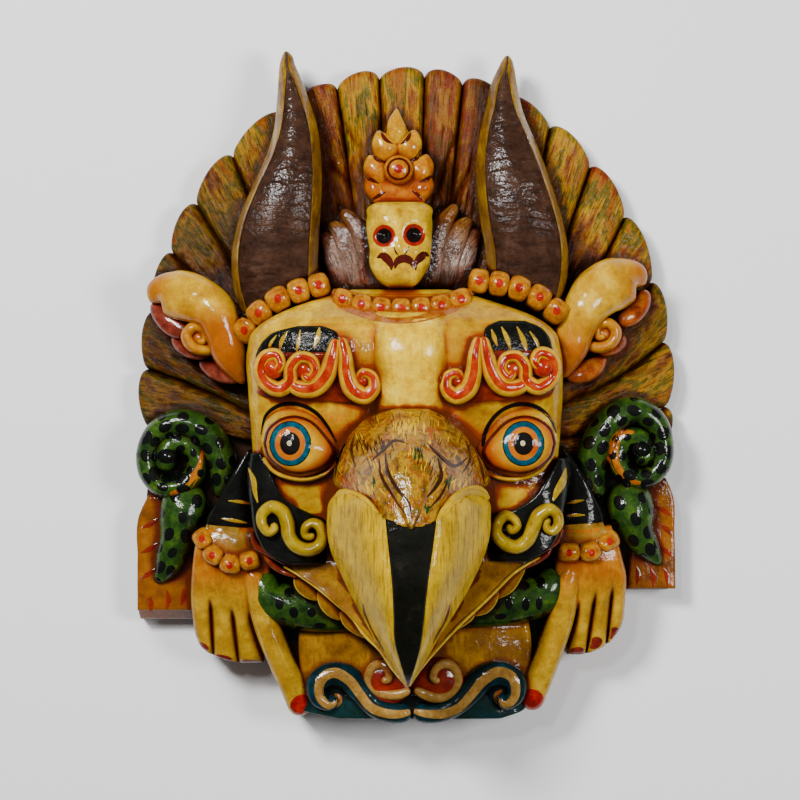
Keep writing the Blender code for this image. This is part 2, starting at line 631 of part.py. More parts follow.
def hands():
    """Each hand hangs from its cuff, with three short fingers and a long one that reaches the base."""
    palms = {
        "left": [(-81.5, -114, -84.5), (-89.5, -117.5, -81), (-99, -119.5, -77.5), (-109.5, -121.5, -77.5),
                 (-119.5, -120.5, -81)],
        "right": [(-80, 84, 114.5), (-89.5, 83.5, 118.5), (-99, 84.5, 120.5), (-107, 87, 123.5),
                  (-116, 90.5, 123.5)],
    }
    fingers = {
        "left": [
            [(-116.5, -114, 44, 5.4, 8), (-117, -131, 41, 5.6, 8), (-114.5, -142, 38, 5.4, 7),
             (-112.5, -150, 30, 3.2, 5)],
            [(-104.5, -115, 46, 6.2, 8), (-104, -137, 42, 6.3, 8), (-101, -147, 39, 5.8, 7),
             (-100, -154.5, 31, 3.4, 5)],
            [(-92.5, -115, 46, 6, 8), (-91, -139, 42, 6, 8), (-87.5, -150, 39, 5.6, 7),
             (-86.5, -157.5, 31, 3.4, 5)],
            [(-85, -111.5, 48, 7, 8), (-77, -139.5, 44, 6.6, 9), (-68.5, -159, 40, 6.4, 9),
             (-61.5, -177, 36, 6.4, 8), (-57.5, -188, 30, 4, 5)],
        ],
        "right": [
            [(119.5, -107.5, 44, 5, 8), (120, -122, 41, 5.2, 8), (118, -133.5, 38, 5, 7),
             (115.5, -142.5, 30, 3.2, 5)],
            [(111.5, -108.5, 46, 5, 8), (111, -126.5, 42, 5.1, 8), (108, -139.5, 39, 5, 7),
             (105, -148.5, 31, 3.2, 5)],
            [(103.5, -110.5, 46, 5.2, 8), (101.5, -132.5, 42, 5.2, 8), (98, -144.5, 39, 5, 7),
             (95, -153, 31, 3.2, 5)],
            [(95.5, -109.5, 48, 7, 8), (86, -139, 44, 6.6, 9), (78.5, -156.5, 40, 6.4, 9),
             (71.5, -173.5, 36, 6.2, 8), (67.5, -185, 30, 4, 5)],
        ],
    }
    bracelets = {
        "left": [(-114, -86, 47), (-108, -95, 52), (-98, -100.5, 54), (-87.5, -98, 53)],
        "right": [(113, -88, 47), (102.5, -94, 53), (90.5, -94, 53)],
    }
    for side in ("left", "right"):
        middle = -98 if side == "left" else 99

        def height(x, y, middle=middle):
            return 40 + 14 * np.clip(1 - np.abs((x - middle) / 25) ** 2.5, 0, 1) ** 0.7

        slab(f"palm_{side}", palms[side], height, 5, 5, root=BELOW)
        for i, stations in enumerate(fingers[side]):
            rib(f"finger_{side}_{i}", stations, 5, root=BELOW, arc=4)
        beads(f"bracelet_{side}", bracelets[side], 30)


# Base with its cloud scroll


def base():
    rows = [(-133.5, -60, 66), (-143.5, -60, 66), (-157, -57.5, 64)]
    slab("base_block", rows, crowned(43, 36, 64, 4), 4, 6, root=BELOW)
    rows = [(-152, -53, 59), (-163, -60, 66), (-174.5, -61, 68), (-184, -57, 68), (-188, -34.5, 52.5)]
    slab("base_foot", rows, crowned(45, 40, 66, 4), 6, 7, root=BELOW)
    waves = {
        "left": [(-35.5, -177, 44, 3, 4), (-39.5, -180.5, 44, 3.4, 5), (-47, -178, 44, 3.8, 6),
                 (-50, -169, 44, 4.2, 7), (-42.5, -162.5, 44, 4.6, 7),
                 (-33, -166, 44, 4.8, 7), (-24, -175.5, 44, 4.8, 7), (-12.5, -182, 44, 4.4, 7),
                 (1, -182.5, 44, 3.4, 6)],
        "right": [(51, -176.5, 44, 3, 4), (54, -180.5, 44, 3.4, 5), (60.5, -177.5, 44, 3.8, 6),
                  (61.5, -168, 44, 4.2, 7), (54, -162, 44, 4.6, 7),
                  (44.5, -166, 44, 4.8, 7), (35.5, -175, 44, 4.8, 7), (24.5, -182, 44, 4.4, 7),
                  (3, -182.5, 44, 3.4, 6)],
    }
    for side, stations in waves.items():
        rib(f"wave_{side}", stations, 13, root=20, arc=3)
    for side, centre, turns in (("left", (-10, -164), -1.2), ("right", (18.5, -163), 1.2)):
        stations = scroll(centre, 10.5, 3.0, -0.25, turns, 46, 3.8, 7)
        rib(f"base_spiral_{side}", stations, 11, root=20, arc=3)


# Union, back and finish


def keep_largest(form):
    """Removes every loose body but the largest, so that no closed pocket is left inside the wood."""
    seen = set()
    bodies = []
    for seed in form.verts:
        if seed in seen:
            continue
        stack, body = [seed], []
        seen.add(seed)
        while stack:
            vert = stack.pop()
            body.append(vert)
            for edge in vert.link_edges:
                other = edge.other_vert(vert)
                if other not in seen:
                    seen.add(other)
                    stack.append(other)
        bodies.append(body)
    bodies.sort(key=len, reverse=True)
    for body in bodies[1:]:
        bmesh.ops.delete(form, geom=body, context="VERTS")


def box(name, low, high):
    """A cutter, in metres."""
    mesh = bpy.data.meshes.new(name)
    form = bmesh.new()
    bmesh.ops.create_cube(form, size=1)
    for vert in form.verts:
        vert.co = [low[i] + (vert.co[i] + 0.5) * (high[i] - low[i]) for i in range(3)]
    form.to_mesh(mesh)
    form.free()
    piece = bpy.data.objects.new(name, mesh)
    piece.hide_render = True
    piece.display_type = "WIRE"
    bpy.context.scene.collection.objects.link(piece)
    return piece


def hollow():
    """The scoop that leaves the inside of the mask open at the back."""
    mesh = bpy.data.meshes.new("hollow")
    form = bmesh.new()
    bmesh.ops.create_uvsphere(form, u_segments=18, v_segments=8, radius=1)
    for vert in form.verts:
        vert.co.x *= HOLLOW_WIDTH / 2
        vert.co.y *= HOLLOW_LENGTH / 2
        vert.co.z *= HOLLOW_DEPTH
        vert.co.y -= 22 * STRETCH[1]
    form.to_mesh(mesh)
    form.free()
    piece = bpy.data.objects.new("hollow", mesh)
    piece.hide_render = True
    piece.display_type = "WIRE"
    bpy.context.scene.collection.objects.link(piece)
    return piece


def cut(piece, operation="DIFFERENCE", cutter=None, collection=None):
    modifier = piece.modifiers.new(operation.lower(), "BOOLEAN")
    modifier.operation = operation
    modifier.solver = "EXACT"
    if collection:
        modifier.operand_type = "COLLECTION"
        modifier.collection = collection
        modifier.use_self = True
    else:
        modifier.object = cutter


def settle(piece):
    """Takes the result of the cuts as the new surface, cleared of slivers and loose bodies."""
    carved = piece.evaluated_get(bpy.context.evaluated_depsgraph_get())
    body = bmesh.new()
    body.from_mesh(bpy.data.meshes.new_from_object(carved))
    bmesh.ops.remove_doubles(body, verts=body.verts, dist=0.00003)
    bmesh.ops.dissolve_degenerate(body, edges=body.edges, dist=0.00002)
    keep_largest(body)
    flat = math.radians(2)
    bmesh.ops.dissolve_limit(body, angle_limit=flat, verts=body.verts, edges=body.edges)
    bmesh.ops.triangulate(body, faces=body.faces)
    piece.modifiers.clear()
    body.to_mesh(piece.data)
    body.free()



block = fan()
block.name = "garuda_mask"
block.hide_render = False
block.display_type = "TEXTURED"
carving.objects.unlink(block)
bpy.context.scene.collection.objects.link(block)
for make in (
    lower_plate, head, nose_boss, cere, beak, jaw, gape_edges, eyes, brows, cheek_scrolls,
    horns, ears, skull, finial, bands, serpents, wings, sleeves, hands, base,
):
    make()
cut(block, operation="UNION", collection=carving)
settle(block)
cut(block, cutter=hollow())
settle(block)
cut(block, cutter=box("behind_back", (-1, -1, -1), (1, 1, 0)))
settle(block)

# The finished carving is brought to its exact sizes, and its middle to the origin.
corners = np.array([vert.co for vert in block.data.vertices])
low, high = corners.min(axis=0), corners.max(axis=0)
scale = np.array([MASK_WIDTH, MASK_HEIGHT, MASK_DEPTH]) / (high - low)
middle = (low + high) / 2 * (1, 1, 0)
for vert, corner in zip(block.data.vertices, corners):
    vert.co = (corner - middle) * scale

wood = bpy.data.materials.new("painted_wood")
wood.use_nodes = True
wood.node_tree.nodes["Principled BSDF"].inputs["Base Color"].default_value = WOOD
wood.node_tree.nodes["Principled BSDF"].inputs["Roughness"].default_value = 0.35
block.data.materials.append(wood)
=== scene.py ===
import math
import random

import bmesh
import bpy
import numpy as np
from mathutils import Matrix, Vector, noise
from mathutils.bvhtree import BVHTree


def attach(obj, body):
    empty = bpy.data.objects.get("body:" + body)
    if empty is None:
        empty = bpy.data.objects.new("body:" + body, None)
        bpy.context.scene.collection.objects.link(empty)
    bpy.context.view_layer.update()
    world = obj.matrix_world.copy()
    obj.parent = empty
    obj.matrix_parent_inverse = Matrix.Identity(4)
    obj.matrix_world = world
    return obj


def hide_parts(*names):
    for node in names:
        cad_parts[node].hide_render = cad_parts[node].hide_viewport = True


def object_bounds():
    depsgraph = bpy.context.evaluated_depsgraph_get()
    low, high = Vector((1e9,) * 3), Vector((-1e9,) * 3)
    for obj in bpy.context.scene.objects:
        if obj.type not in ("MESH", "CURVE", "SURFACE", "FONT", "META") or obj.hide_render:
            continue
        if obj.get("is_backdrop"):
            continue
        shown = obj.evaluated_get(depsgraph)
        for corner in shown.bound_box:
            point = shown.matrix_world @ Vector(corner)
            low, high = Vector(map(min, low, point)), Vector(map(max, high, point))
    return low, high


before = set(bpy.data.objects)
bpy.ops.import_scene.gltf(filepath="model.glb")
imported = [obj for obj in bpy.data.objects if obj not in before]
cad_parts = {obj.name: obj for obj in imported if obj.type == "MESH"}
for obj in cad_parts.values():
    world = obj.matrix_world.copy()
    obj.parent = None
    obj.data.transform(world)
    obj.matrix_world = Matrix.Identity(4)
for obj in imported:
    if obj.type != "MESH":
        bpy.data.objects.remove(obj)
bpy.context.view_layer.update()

# The back. The block's flat rear face and the scoop that makes it lighter.
# Bare wood, cut with a gouge and never painted, gone brown with age.
# It is the block itself, so it takes its outline from the solid.
SCOOP_AT = (0.0, -22.0)  # middle of the scoop, mm
SCOOP_HALF = (59.0, 82.5)  # half its width and half its length, mm
SCOOP_DEPTH = 56.0  # mm
FLATNESS = 0.2  # how far from the rear plane a face of it may lie, mm


def ink(code):
    """An sRGB hex colour as linear RGBA."""
    parts = [int(code[i : i + 2], 16) / 255 for i in (1, 3, 5)]
    return tuple(c / 12.92 if c <= 0.04045 else ((c + 0.055) / 1.055) ** 2.4 for c in parts) + (1.0,)


def add(tree, kind, settings=None, links=None):
    """Adds a shader node, sets its properties and sockets, and links its sockets."""
    made = tree.nodes.new("ShaderNode" + kind)
    for key, value in (settings or {}).items():
        if isinstance(key, int) or key in made.inputs:
            made.inputs[key].default_value = value
        else:
            setattr(made, key, value)
    for key, output in (links or {}).items():
        tree.links.new(output, made.inputs[key])
    return made


def stops(ramp, colours):
    """Sets a colour ramp from places and hex colours. Three bare colours go to the usual places."""
    if isinstance(colours[0], str):
        colours = list(zip((0.3, 0.5, 0.7), colours))
    band = ramp.color_ramp
    while len(band.elements) < len(colours):
        band.elements.new(0.5)
    for element, (place, code) in zip(band.elements, colours):
        element.position = place
        element.color = ink(code)


def mixed(tree, share, under, over, blend="MIX"):
    """Lays a colour over another. The share and the colour on top are each an output or a plain value."""
    made = add(tree, "Mix", {"data_type": "RGBA", "blend_type": blend}, {6: under})
    for key, value in ((0, share), (7, over)):
        if isinstance(value, bpy.types.NodeSocket):
            tree.links.new(value, made.inputs[key])
        else:
            made.inputs[key].default_value = value
    return made.outputs[2]


# Bare wood, gouged: faint long grain, dull, with brown dust in the tool marks.
raw_wood = bpy.data.materials.new("bare_gouged_wood")
raw_wood.use_nodes = True
tree = raw_wood.node_tree
skin = tree.nodes["Principled BSDF"]
place = add(tree, "TexCoord")
fibre = add(tree, "Mapping", {"Scale": (900, 60, 300)}, {"Vector": place.outputs["Object"]})
fibre_noise = add(tree, "TexNoise", {"Scale": 1.0, "Detail": 5}, {"Vector": fibre.outputs["Vector"]})
gouge = add(tree, "TexVoronoi", {"Scale": 1000 / 14}, {"Vector": place.outputs["Object"]})
tone = add(tree, "ValToRGB", None, {"Fac": fibre_noise.outputs["Fac"]})
stops(tone, [(0.3, "#8a6238"), (0.7, "#b98d58")])
marks = add(tree, "ValToRGB", None, {"Fac": gouge.outputs["Distance"]})
stops(marks, [(0.0, "#ffffff"), (0.9, "#b9a48c")])
dusted = mixed(tree, 1.0, tone.outputs["Color"], marks.outputs["Color"], "MULTIPLY")
tree.links.new(dusted, skin.inputs["Base Color"])
skin.inputs["Roughness"].default_value = 0.75
height = add(tree, "Math", {"operation": "ADD"}, {
    0: gouge.outputs["Distance"], 1: fibre_noise.outputs["Fac"],
})
dents = add(tree, "Bump", {"Strength": 0.5, "Distance": 0.0008}, {"Height": height.outputs["Value"]})
tree.links.new(dents.outputs["Normal"], skin.inputs["Normal"])


def wear(piece):
    """Puts a finished piece of the mask on its body, in place of the plain solid."""
    bpy.context.scene.collection.objects.link(piece)
    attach(piece, "root")
    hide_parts("garuda_mask")
    return piece


back = bmesh.new()
back.from_mesh(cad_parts["garuda_mask"].data)
front = []
for face in back.faces:
    middle = face.calc_center_median() * 1000
    inside = math.hypot(middle.x / (SCOOP_HALF[0] + 2), (middle.y - SCOOP_AT[1]) / (SCOOP_HALF[1] + 2)) < 1
    if middle.z > FLATNESS and not (inside and face.normal.z < 0 and middle.z < SCOOP_DEPTH + 1):
        front.append(face)
bmesh.ops.delete(back, geom=front, context="FACES")
back_mesh = bpy.data.meshes.new("back")
back.to_mesh(back_mesh)
back.free()
back_mesh.materials.append(raw_wood)
back_mesh.shade_smooth()
back_mesh.set_sharp_from_angle(angle=math.radians(35))
wear(bpy.data.objects.new("back", back_mesh))


# Fan of feathers. The wide thin part of the block, behind and round the head.
# Each feather is crowned, cut free of the next by one deep groove and scored along its length.
# Rust, ochre, olive and grey-brown washes are rubbed into each other, then varnished.
carved = []  # every carved form, for the toning in the recesses
DRAWN_FROM = (0.1, 0.95, 0.0)  # from the drawing's origin to the middle of the back, mm
BACK_LEVEL = 0.3  # the underside of every form that reaches the back of the block, mm
TONER_AND_SHADE = "#c8641c"  # the brown multiplied in where the surface dips: toner in the hollows, and painted shade there


def smooth(stations, count, along=(0, 1)):
    """Reads count rows, evenly by distance in the named columns, from a smooth curve through the stations."""
    keys = np.array(stations, float)
    steps = np.linalg.norm(np.diff(keys[:, list(along)], axis=0), axis=1)
    reach = np.concatenate([[0.0], np.cumsum(steps)])
    slopes = np.gradient(keys, reach, axis=0)
    at = np.linspace(0, reach[-1], count)
    i = np.clip(np.searchsorted(reach, at, side="right") - 1, 0, len(keys) - 2)
    gap = (reach[i + 1] - reach[i])[:, None]
    u = (at - reach[i])[:, None] / gap
    start = (2 * u**3 - 3 * u**2 + 1) * keys[i] + (u**3 - 2 * u**2 + u) * gap * slopes[i]
    return start + (3 * u**2 - 2 * u**3) * keys[i + 1] + (u**3 - u**2) * gap * slopes[i + 1]


def grid(rows, columns, first=0, around=False):
    """Faces of a grid of points, row after row."""
    faces = []
    for i in range(rows - 1):
        for j in range(columns if around else columns - 1):
            a, b = first + i * columns + j, first + i * columns + (j + 1) % columns
            faces.append((a, b, b + columns, a + columns))
    return faces


def capped(rings, size):
    """Faces of a tube of points, ring after ring, closed at both ends."""
    first, last = tuple(range(size)), tuple(range((rings - 1) * size, rings * size))
    return grid(rings, size, around=True) + [first, last]


def carve(name, points, faces, paints, which=None, grain=None, sharp=42):
    """Makes one carved form from points in mm. Grain is the place across and along it, in mm."""
    points = np.asarray(points, float)
    mesh = bpy.data.meshes.new(name)
    mesh.from_pydata(((points + DRAWN_FROM) * 0.001).tolist(), [], faces)
    for paint in paints:
        mesh.materials.append(paint)
    if which is not None:
        mesh.polygons.foreach_set("material_index", np.asarray(which, np.int32))
    flow = mesh.attributes.new("grain", "FLOAT_VECTOR", "POINT")
    flow.data.foreach_set("vector", np.asarray(points if grain is None else grain, np.float32).ravel())
    form = bmesh.new()
    form.from_mesh(mesh)
    bmesh.ops.recalc_face_normals(form, faces=form.faces)
    form.to_mesh(mesh)
    form.free()
    mesh.shade_smooth()
    mesh.set_sharp_from_angle(angle=math.radians(sharp))
    piece = wear(bpy.data.objects.new(name, mesh))
    carved.append(piece)
    return piece


def painted(name, colours, glaze_and_shade="#3c1404", mottle=16, streak=None, streak_ink="#3a1808", streak_share=0.5,
            lumps=0.2, gloss=0.4, coat=0.6, deep=0.9, specks=0.35, dents=3.2,
            fade=None, shine=None, drawn=None):
    """Oil colour in thin coats over carved wood, brown toner and painted shade where it dips, varnished to a
    gloss.

    Mottle is the size of the brushed clouds in mm. Streak is the size of brush or scored lines, across,
    along and apart, in mm. Dents is the size of the bumps that break up the varnish's shine. Fade is a
    second set of colours, an axis and the two places in mm between which it comes in, or else "tint", the
    share that the piece carries. Shine is an axis and the two places in mm between which the varnish comes
    in. Drawn is the size of the clouds across and along the grain in mm, where the brush drew them out.
    """
    material = bpy.data.materials.new(name)
    material.use_nodes = True
    tree = material.node_tree
    skin = tree.nodes["Principled BSDF"]
    place = add(tree, "TexCoord").outputs["Object"]
    grain = add(tree, "Attribute", {"attribute_name": "grain"}).outputs["Vector"]
    recess = add(tree, "Attribute", {"attribute_name": "recess"}).outputs["Fac"]
    clouds = add(tree, "TexNoise", {"Scale": 1000 / mottle, "Detail": 6, "Roughness": 0.7}, {"Vector": place})
    if drawn:
        sizes = add(tree, "Mapping", {"Scale": (1 / drawn[0], 1 / drawn[1], 1)}, {"Vector": grain})
        clouds.inputs["Scale"].default_value = 1.0
        clouds.inputs["Roughness"].default_value = 0.58
        tree.links.new(sizes.outputs["Vector"], clouds.inputs["Vector"])
    ramp = add(tree, "ValToRGB", None, {"Fac": clouds.outputs["Fac"]})
    stops(ramp, colours)
    colour = ramp.outputs["Color"]
    if fade:
        second, axis, low, high = fade
        other = add(tree, "ValToRGB", None, {"Fac": clouds.outputs["Fac"]})
        stops(other, second)
        if axis == "tint":
            along, unit, torn = add(tree, "Attribute", {"attribute_name": "tint"}).outputs["Fac"], 1, 0.9
        else:
            along, unit, torn = add(tree, "SeparateXYZ", None, {0: place}).outputs[axis], 1000, 0.024
        ragged = add(tree, "Math", {"operation": "MULTIPLY_ADD", 1: torn, 2: -torn / 2}, {
            0: clouds.outputs["Fac"],
        })
        spot = add(tree, "Math", {"operation": "ADD"}, {0: along, 1: ragged.outputs[0]})
        share = add(tree, "MapRange", {1: low / unit, 2: high / unit}, {0: spot.outputs[0]})
        colour = mixed(tree, share.outputs[0], colour, other.outputs["Color"])
    rough = add(tree, "TexNoise", {"Scale": 1000 / 1.1, "Detail": 3}, {"Vector": place})
    lump = add(tree, "TexNoise", {"Scale": 1000 / dents, "Detail": 2}, {"Vector": place})
    added = {"operation": "MULTIPLY_ADD"}
    relief = add(tree, "Math", {**added, 1: 0.2}, {0: rough.outputs["Fac"], 2: lump.outputs["Fac"]})
    if streak:
        shrunk = add(tree, "Mapping", {"Scale": tuple(1 / s for s in streak)}, {"Vector": grain})
        sizes = shrunk.outputs["Vector"]
        lines = add(tree, "TexNoise", {"Scale": 1.0, "Detail": 3, "Roughness": 0.7}, {"Vector": sizes})
        edge = add(tree, "MapRange", {1: 0.5, 2: 0.62, 4: streak_share}, {0: lines.outputs["Fac"]})
        colour = mixed(tree, edge.outputs[0], colour, ink(streak_ink))
        relief = add(tree, "Math", {**added, 1: 0.6}, {0: lines.outputs["Fac"], 2: relief.outputs[0]})
    dark = add(tree, "MapRange", {1: 0.58, 2: 0.72, 4: specks}, {0: rough.outputs["Fac"]})
    colour = mixed(tree, dark.outputs[0], colour, ink(glaze_and_shade))
    broken = add(tree, "Math", {**added, 1: 0.9, 2: -0.45}, {0: clouds.outputs["Fac"]})
    low_spot = add(tree, "Math", {"operation": "ADD"}, {0: recess, 1: broken.outputs[0]})
    # Where the surface dips the colour darkens to brown, then to the glaze colour: toner in the hollows, and
    # painted shade.
    toner_and_shade = add(tree, "MapRange", {1: -0.02, 2: 0.42, 4: deep}, {0: low_spot.outputs[0]})
    colour = mixed(tree, toner_and_shade.outputs[0], colour, ink(TONER_AND_SHADE), "MULTIPLY")
    deep_shade = add(tree, "MapRange", {1: 0.28, 2: 0.95, 4: deep}, {0: low_spot.outputs[0]})
    colour = mixed(tree, deep_shade.outputs[0], colour, ink(glaze_and_shade))
    tree.links.new(colour, skin.inputs["Base Color"])
    sheen = add(tree, "MapRange", {1: 0.3, 2: 0.7, 3: gloss, 4: gloss + 0.16}, {0: lump.outputs["Fac"]})
    tree.links.new(sheen.outputs[0], skin.inputs["Roughness"])
    skin.inputs["Specular IOR Level"].default_value = 0.04
    skin.inputs["Coat Weight"].default_value = coat
    skin.inputs["Coat Roughness"].default_value = 0.07
    if shine:
        axis, low, high = shine
        along = add(tree, "SeparateXYZ", None, {0: place}).outputs[axis]
        share = add(tree, "MapRange", {1: low / 1000, 2: high / 1000, 4: coat}, {0: along})
        tree.links.new(share.outputs[0], skin.inputs["Coat Weight"])
    bump = add(tree, "Bump", {"Strength": lumps, "Distance": 0.0012}, {"Height": relief.outputs[0]})
    tree.links.new(bump.outputs["Normal"], skin.inputs["Normal"])
    tree.links.new(bump.outputs["Normal"], skin.inputs["Coat Normal"])
    return material


def tint(piece, share):
    """Gives a carved piece its share of the paint's second colours, a function of x and y in mm."""
    mark = piece.data.attributes.new("tint", "FLOAT", "POINT")
    for i, vertex in enumerate(piece.data.vertices):
        mark.data[i].value = float(share(vertex.co.x * 1000, vertex.co.y * 1000))


feather_paint = painted(
    "feather_wash",
    [
        (0.36, "#241206"), (0.42, "#4c2808"), (0.48, "#6c480c"), (0.54, "#34320c"), (0.6, "#60400c"),
        (0.66, "#642408"),
    ],
    glaze_and_shade="#1c0e05",
    drawn=(13, 38),
    streak=(0.8, 13, 1),
    streak_ink="#180c04",
    streak_share=0.8,
    lumps=0.8,
    gloss=0.5,
    coat=0.16,
    deep=0.6,
    specks=0.7,
    fade=(
        [
            (0.36, "#5c2408"), (0.42, "#8a4c08"), (0.48, "#ac7e06"), (0.53, "#4c4c0c"), (0.58, "#94600a"),
            (0.66, "#842c08"),
        ],
        "tint",
        0.1,
        0.9,
    ),
)
feather_rust = painted(
    "feather_rust_wash",
    [(0.36, "#241206"), (0.44, "#4c2408"), (0.5, "#5c3c10"), (0.56, "#4c2008"), (0.64, "#642408")],
    glaze_and_shade="#1c0e05",
    drawn=(13, 38),
    streak=(0.8, 13, 1),
    streak_ink="#180c04",
    streak_share=0.8,
    lumps=0.8,
    gloss=0.5,
    coat=0.16,
    deep=0.6,
    specks=0.7,
    fade=(
        [
            (0.36, "#54200c"), (0.43, "#742c10"), (0.49, "#8c5c10"), (0.54, "#703010"), (0.6, "#5c4410"),
            (0.66, "#7c2410"),
        ],
        "tint",
        0.1,
        0.9,
    ),
)
RUSTY = (6, 9, 10)  # the feathers with the redder wash, counted clockwise from the lower left
# Where one feather's tip meets the next, clockwise from the lower left, in degrees from +Y.
MEETS = [-98, -87, -76, -64.5, -54, -42, -28.5, -15.5, -6, 4, 12.5, 22, 33.5, 45, 57, 70.5, 82, 94, 101]
FOOT_LEVEL, TIP_LEVEL = 30, 17  # of a feather's back, mm
CUT_DEPTH = 7  # between two feathers, mm
oval = np.array([148.5, 176.3])
across = (1 - np.cos(np.linspace(0, math.pi, 31))) / 2
shares = 1 - (1 - np.linspace(0, 1, 60)) ** 1.4
fan_points, fan_grain = [], []
for k in range(len(MEETS) - 1):
    a, b = math.radians(MEETS[k]), math.radians(MEETS[k + 1])
    barbs = 4 + k % 3
    for t in across[: -1 if k < len(MEETS) - 2 else None]:
        angle = a + (b - a) * t
        upper = t if a + b > 0 else 1 - t
        bulge = math.sin(math.pi * upper**0.75) ** 0.6 if 0 < t < 1 else 0.0
        swirl = angle * (1 + 0.22 * math.sin(angle) ** 2)
        foot = np.array([84.0 * math.sin(swirl), (50.0 if math.cos(swirl) > 0 else 74.0) * math.cos(swirl)])
        tip = np.array([math.sin(angle), math.cos(angle)]) * oval * (1 + 0.034 * bulge)
        bend = (9.0 if angle > 0 else -4.0) * math.sin(angle)
        side = np.array([math.cos(angle), -math.sin(angle)])
        for share in shares:
            x, y = foot + (tip - foot) * share + side * bend * math.sin(math.pi * share) * 0.5
            width = (b - a) * (70 + 95 * share)
            slot = math.exp(-((min(t, 1 - t) * width / 1.2) ** 1.3))
            crown = 1 - (2 * t - 1) ** 2
            barb = (1 - abs(math.sin(math.pi * (barbs * t + 0.35 * math.sin(4 * share + k))))) ** 3
            worn = min(1, max(0, (share - 0.965) / 0.035))
            cut = min(1, 0.4 + share) if abs(angle) > 0.5 else min(1, max(0.2, 2.4 * share - 0.8))
            z = FOOT_LEVEL + (TIP_LEVEL - FOOT_LEVEL) * share**0.8 + 1.2 * crown - CUT_DEPTH * slot * cut
            furrow = 1.6 * barb * crown * math.sin(math.pi * min(1, share * 1.02))
            z -= furrow + 3 * (1 - math.sqrt(1 - worn**2))
            fan_points.append((x, y, z))
            fan_grain.append(((t - 0.5) * width, share * 100, k * 37.0))
# Slanting cuts of the gouge, where the crown feathers cross at their feet.
CROSSINGS = [
    [(-38, 156), (-33.5, 145.5), (-25.5, 134.5)],
    [(-46, 127.5), (-36.5, 119.5), (-28.5, 111.5)],
    [(-39.5, 103), (-34.5, 99), (-30, 93.5)],
    [(28.5, 142), (22.5, 126), (17.5, 113), (12, 103)],
    [(39, 128), (33, 115.5), (24.5, 100.5)],
]
cuts = np.concatenate([smooth(path, 40) for path in CROSSINGS])
SLANT_DEPTH, SLANT_WIDTH = 3.6, 1.5  # mm
depths = np.tile(SLANT_DEPTH * np.sin(np.linspace(0.1, math.pi - 0.1, 40)) ** 0.5, len(CROSSINGS))
fan_points = np.array(fan_points)
gaps = np.linalg.norm(fan_points[:, None, :2] - cuts, axis=2)
fan_points[:, 2] -= (depths * np.exp(-((gaps / SLANT_WIDTH) ** 2))).max(axis=1)
fan_points = fan_points.tolist()
wide, long = len(fan_points) // len(shares), len(shares)
top = len(fan_points)
for first in (long - 1, 0):
    for p in range(first, top, long):
        fan_points.append((fan_points[p][0], fan_points[p][1], BACK_LEVEL))
        fan_grain.append(fan_grain[p])
faces = grid(wide, long)
for i in range(wide - 1):
    rim, foot = i * long + long - 1, i * long
    low_rim, low_foot = top + i, top + wide + i
    faces.append((rim, rim + long, low_rim + 1, low_rim))
    faces.append((low_rim, low_rim + 1, low_foot + 1, low_foot))
    faces.append((low_foot, low_foot + 1, foot + long, foot))
for i in (0, wide - 1):
    faces.append(tuple(range(i * long, i * long + long)) + (top + i, top + wide + i))
strips = range(wide - 1)
columns = np.concatenate([np.repeat(strips, long - 1), np.repeat(strips, 3), [0, 0]])
which = np.isin(columns // (len(across) - 1), RUSTY)
fan = carve("feather_fan", fan_points, faces, [feather_paint, feather_rust], which, grain=fan_grain, sharp=50)


def fan_brightness(x, y):
    """More ochre towards the top, towards the right and in the middle."""
    return np.clip((y - 70) / 85, 0, 1) + 0.6 * np.clip(x / 90, 0, 1) + 0.3 * math.exp(-((x / 50) ** 4))


tint(fan, fan_brightness)


# Inner feathers. Short curling plumes at the foot of the fan, each side of the skull, dark and glossy, their
# sheen painted on in pinkish grey.
# They lie over the long feathers and end behind the string of beads.
OVER_SCOOP = 1.5  # wood left between the scoop and the underside of a form, mm


def scoop(x, y):
    """How deep the scooped-out back is over a place, so that the front stays clear of it."""
    flat = 1 - ((x - SCOOP_AT[0]) / SCOOP_HALF[0]) ** 2 - ((y - SCOOP_AT[1]) / SCOOP_HALF[1]) ** 2
    return SCOOP_DEPTH * np.sqrt(np.clip(flat, 0, 1))


def heading(table):
    """The direction in which a path runs at each of its rows."""
    along = np.gradient(table[:, :2], axis=0)
    return along / np.linalg.norm(along, axis=1)[:, None]


def rib(name, stations, count, paints, root=4.0, arc=15, trim=None):
    """A raised band along a path. A station is x, y, the level of its edge, its half width and its rise.

    Trim is how far from its middle line the second paint starts, as a share of the half width.
    """
    table = smooth(stations, count)
    reach = np.concatenate([[0.0], np.cumsum(np.linalg.norm(np.diff(table[:, :2], axis=0), axis=1))])
    turn = np.linspace(0, math.pi, arc)
    across = np.concatenate([[1], np.cos(turn), [-1]])
    points, flow = [], []
    for (x, y, edge, half, rise), (dx, dy), s in zip(table, heading(table), reach):
        near = min(s, reach[-1] - s)
        full = math.sqrt(max(0.0, 1 - (1 - min(1, near / half)) ** 2)) * 0.97 + 0.03
        lift = np.concatenate([[0], rise * np.sin(turn) ** 0.85, [0]]) * full**0.7
        px, py = x - dy * half * across * full, y + dx * half * across * full
        low = np.maximum(root, scoop(px, py) + OVER_SCOOP)
        pz = edge + lift
        pz[0], pz[-1] = min(low[0], edge - 0.5), min(low[-1], edge - 0.5)
        points.append(np.stack([px, py, pz], 1))
        flow.append(np.stack([half * across, np.full(len(across), s), 0 * across], 1))
    size = len(across)
    which = None
    if trim:
        ring = [abs(across[f] + across[(f + 1) % size]) / 2 > trim for f in range(size)]
        which = ring * (count - 1) + [1, 1]
    faces = capped(count, size)
    return carve(name, np.concatenate(points), faces, paints, which, grain=np.concatenate(flow), sharp=55)
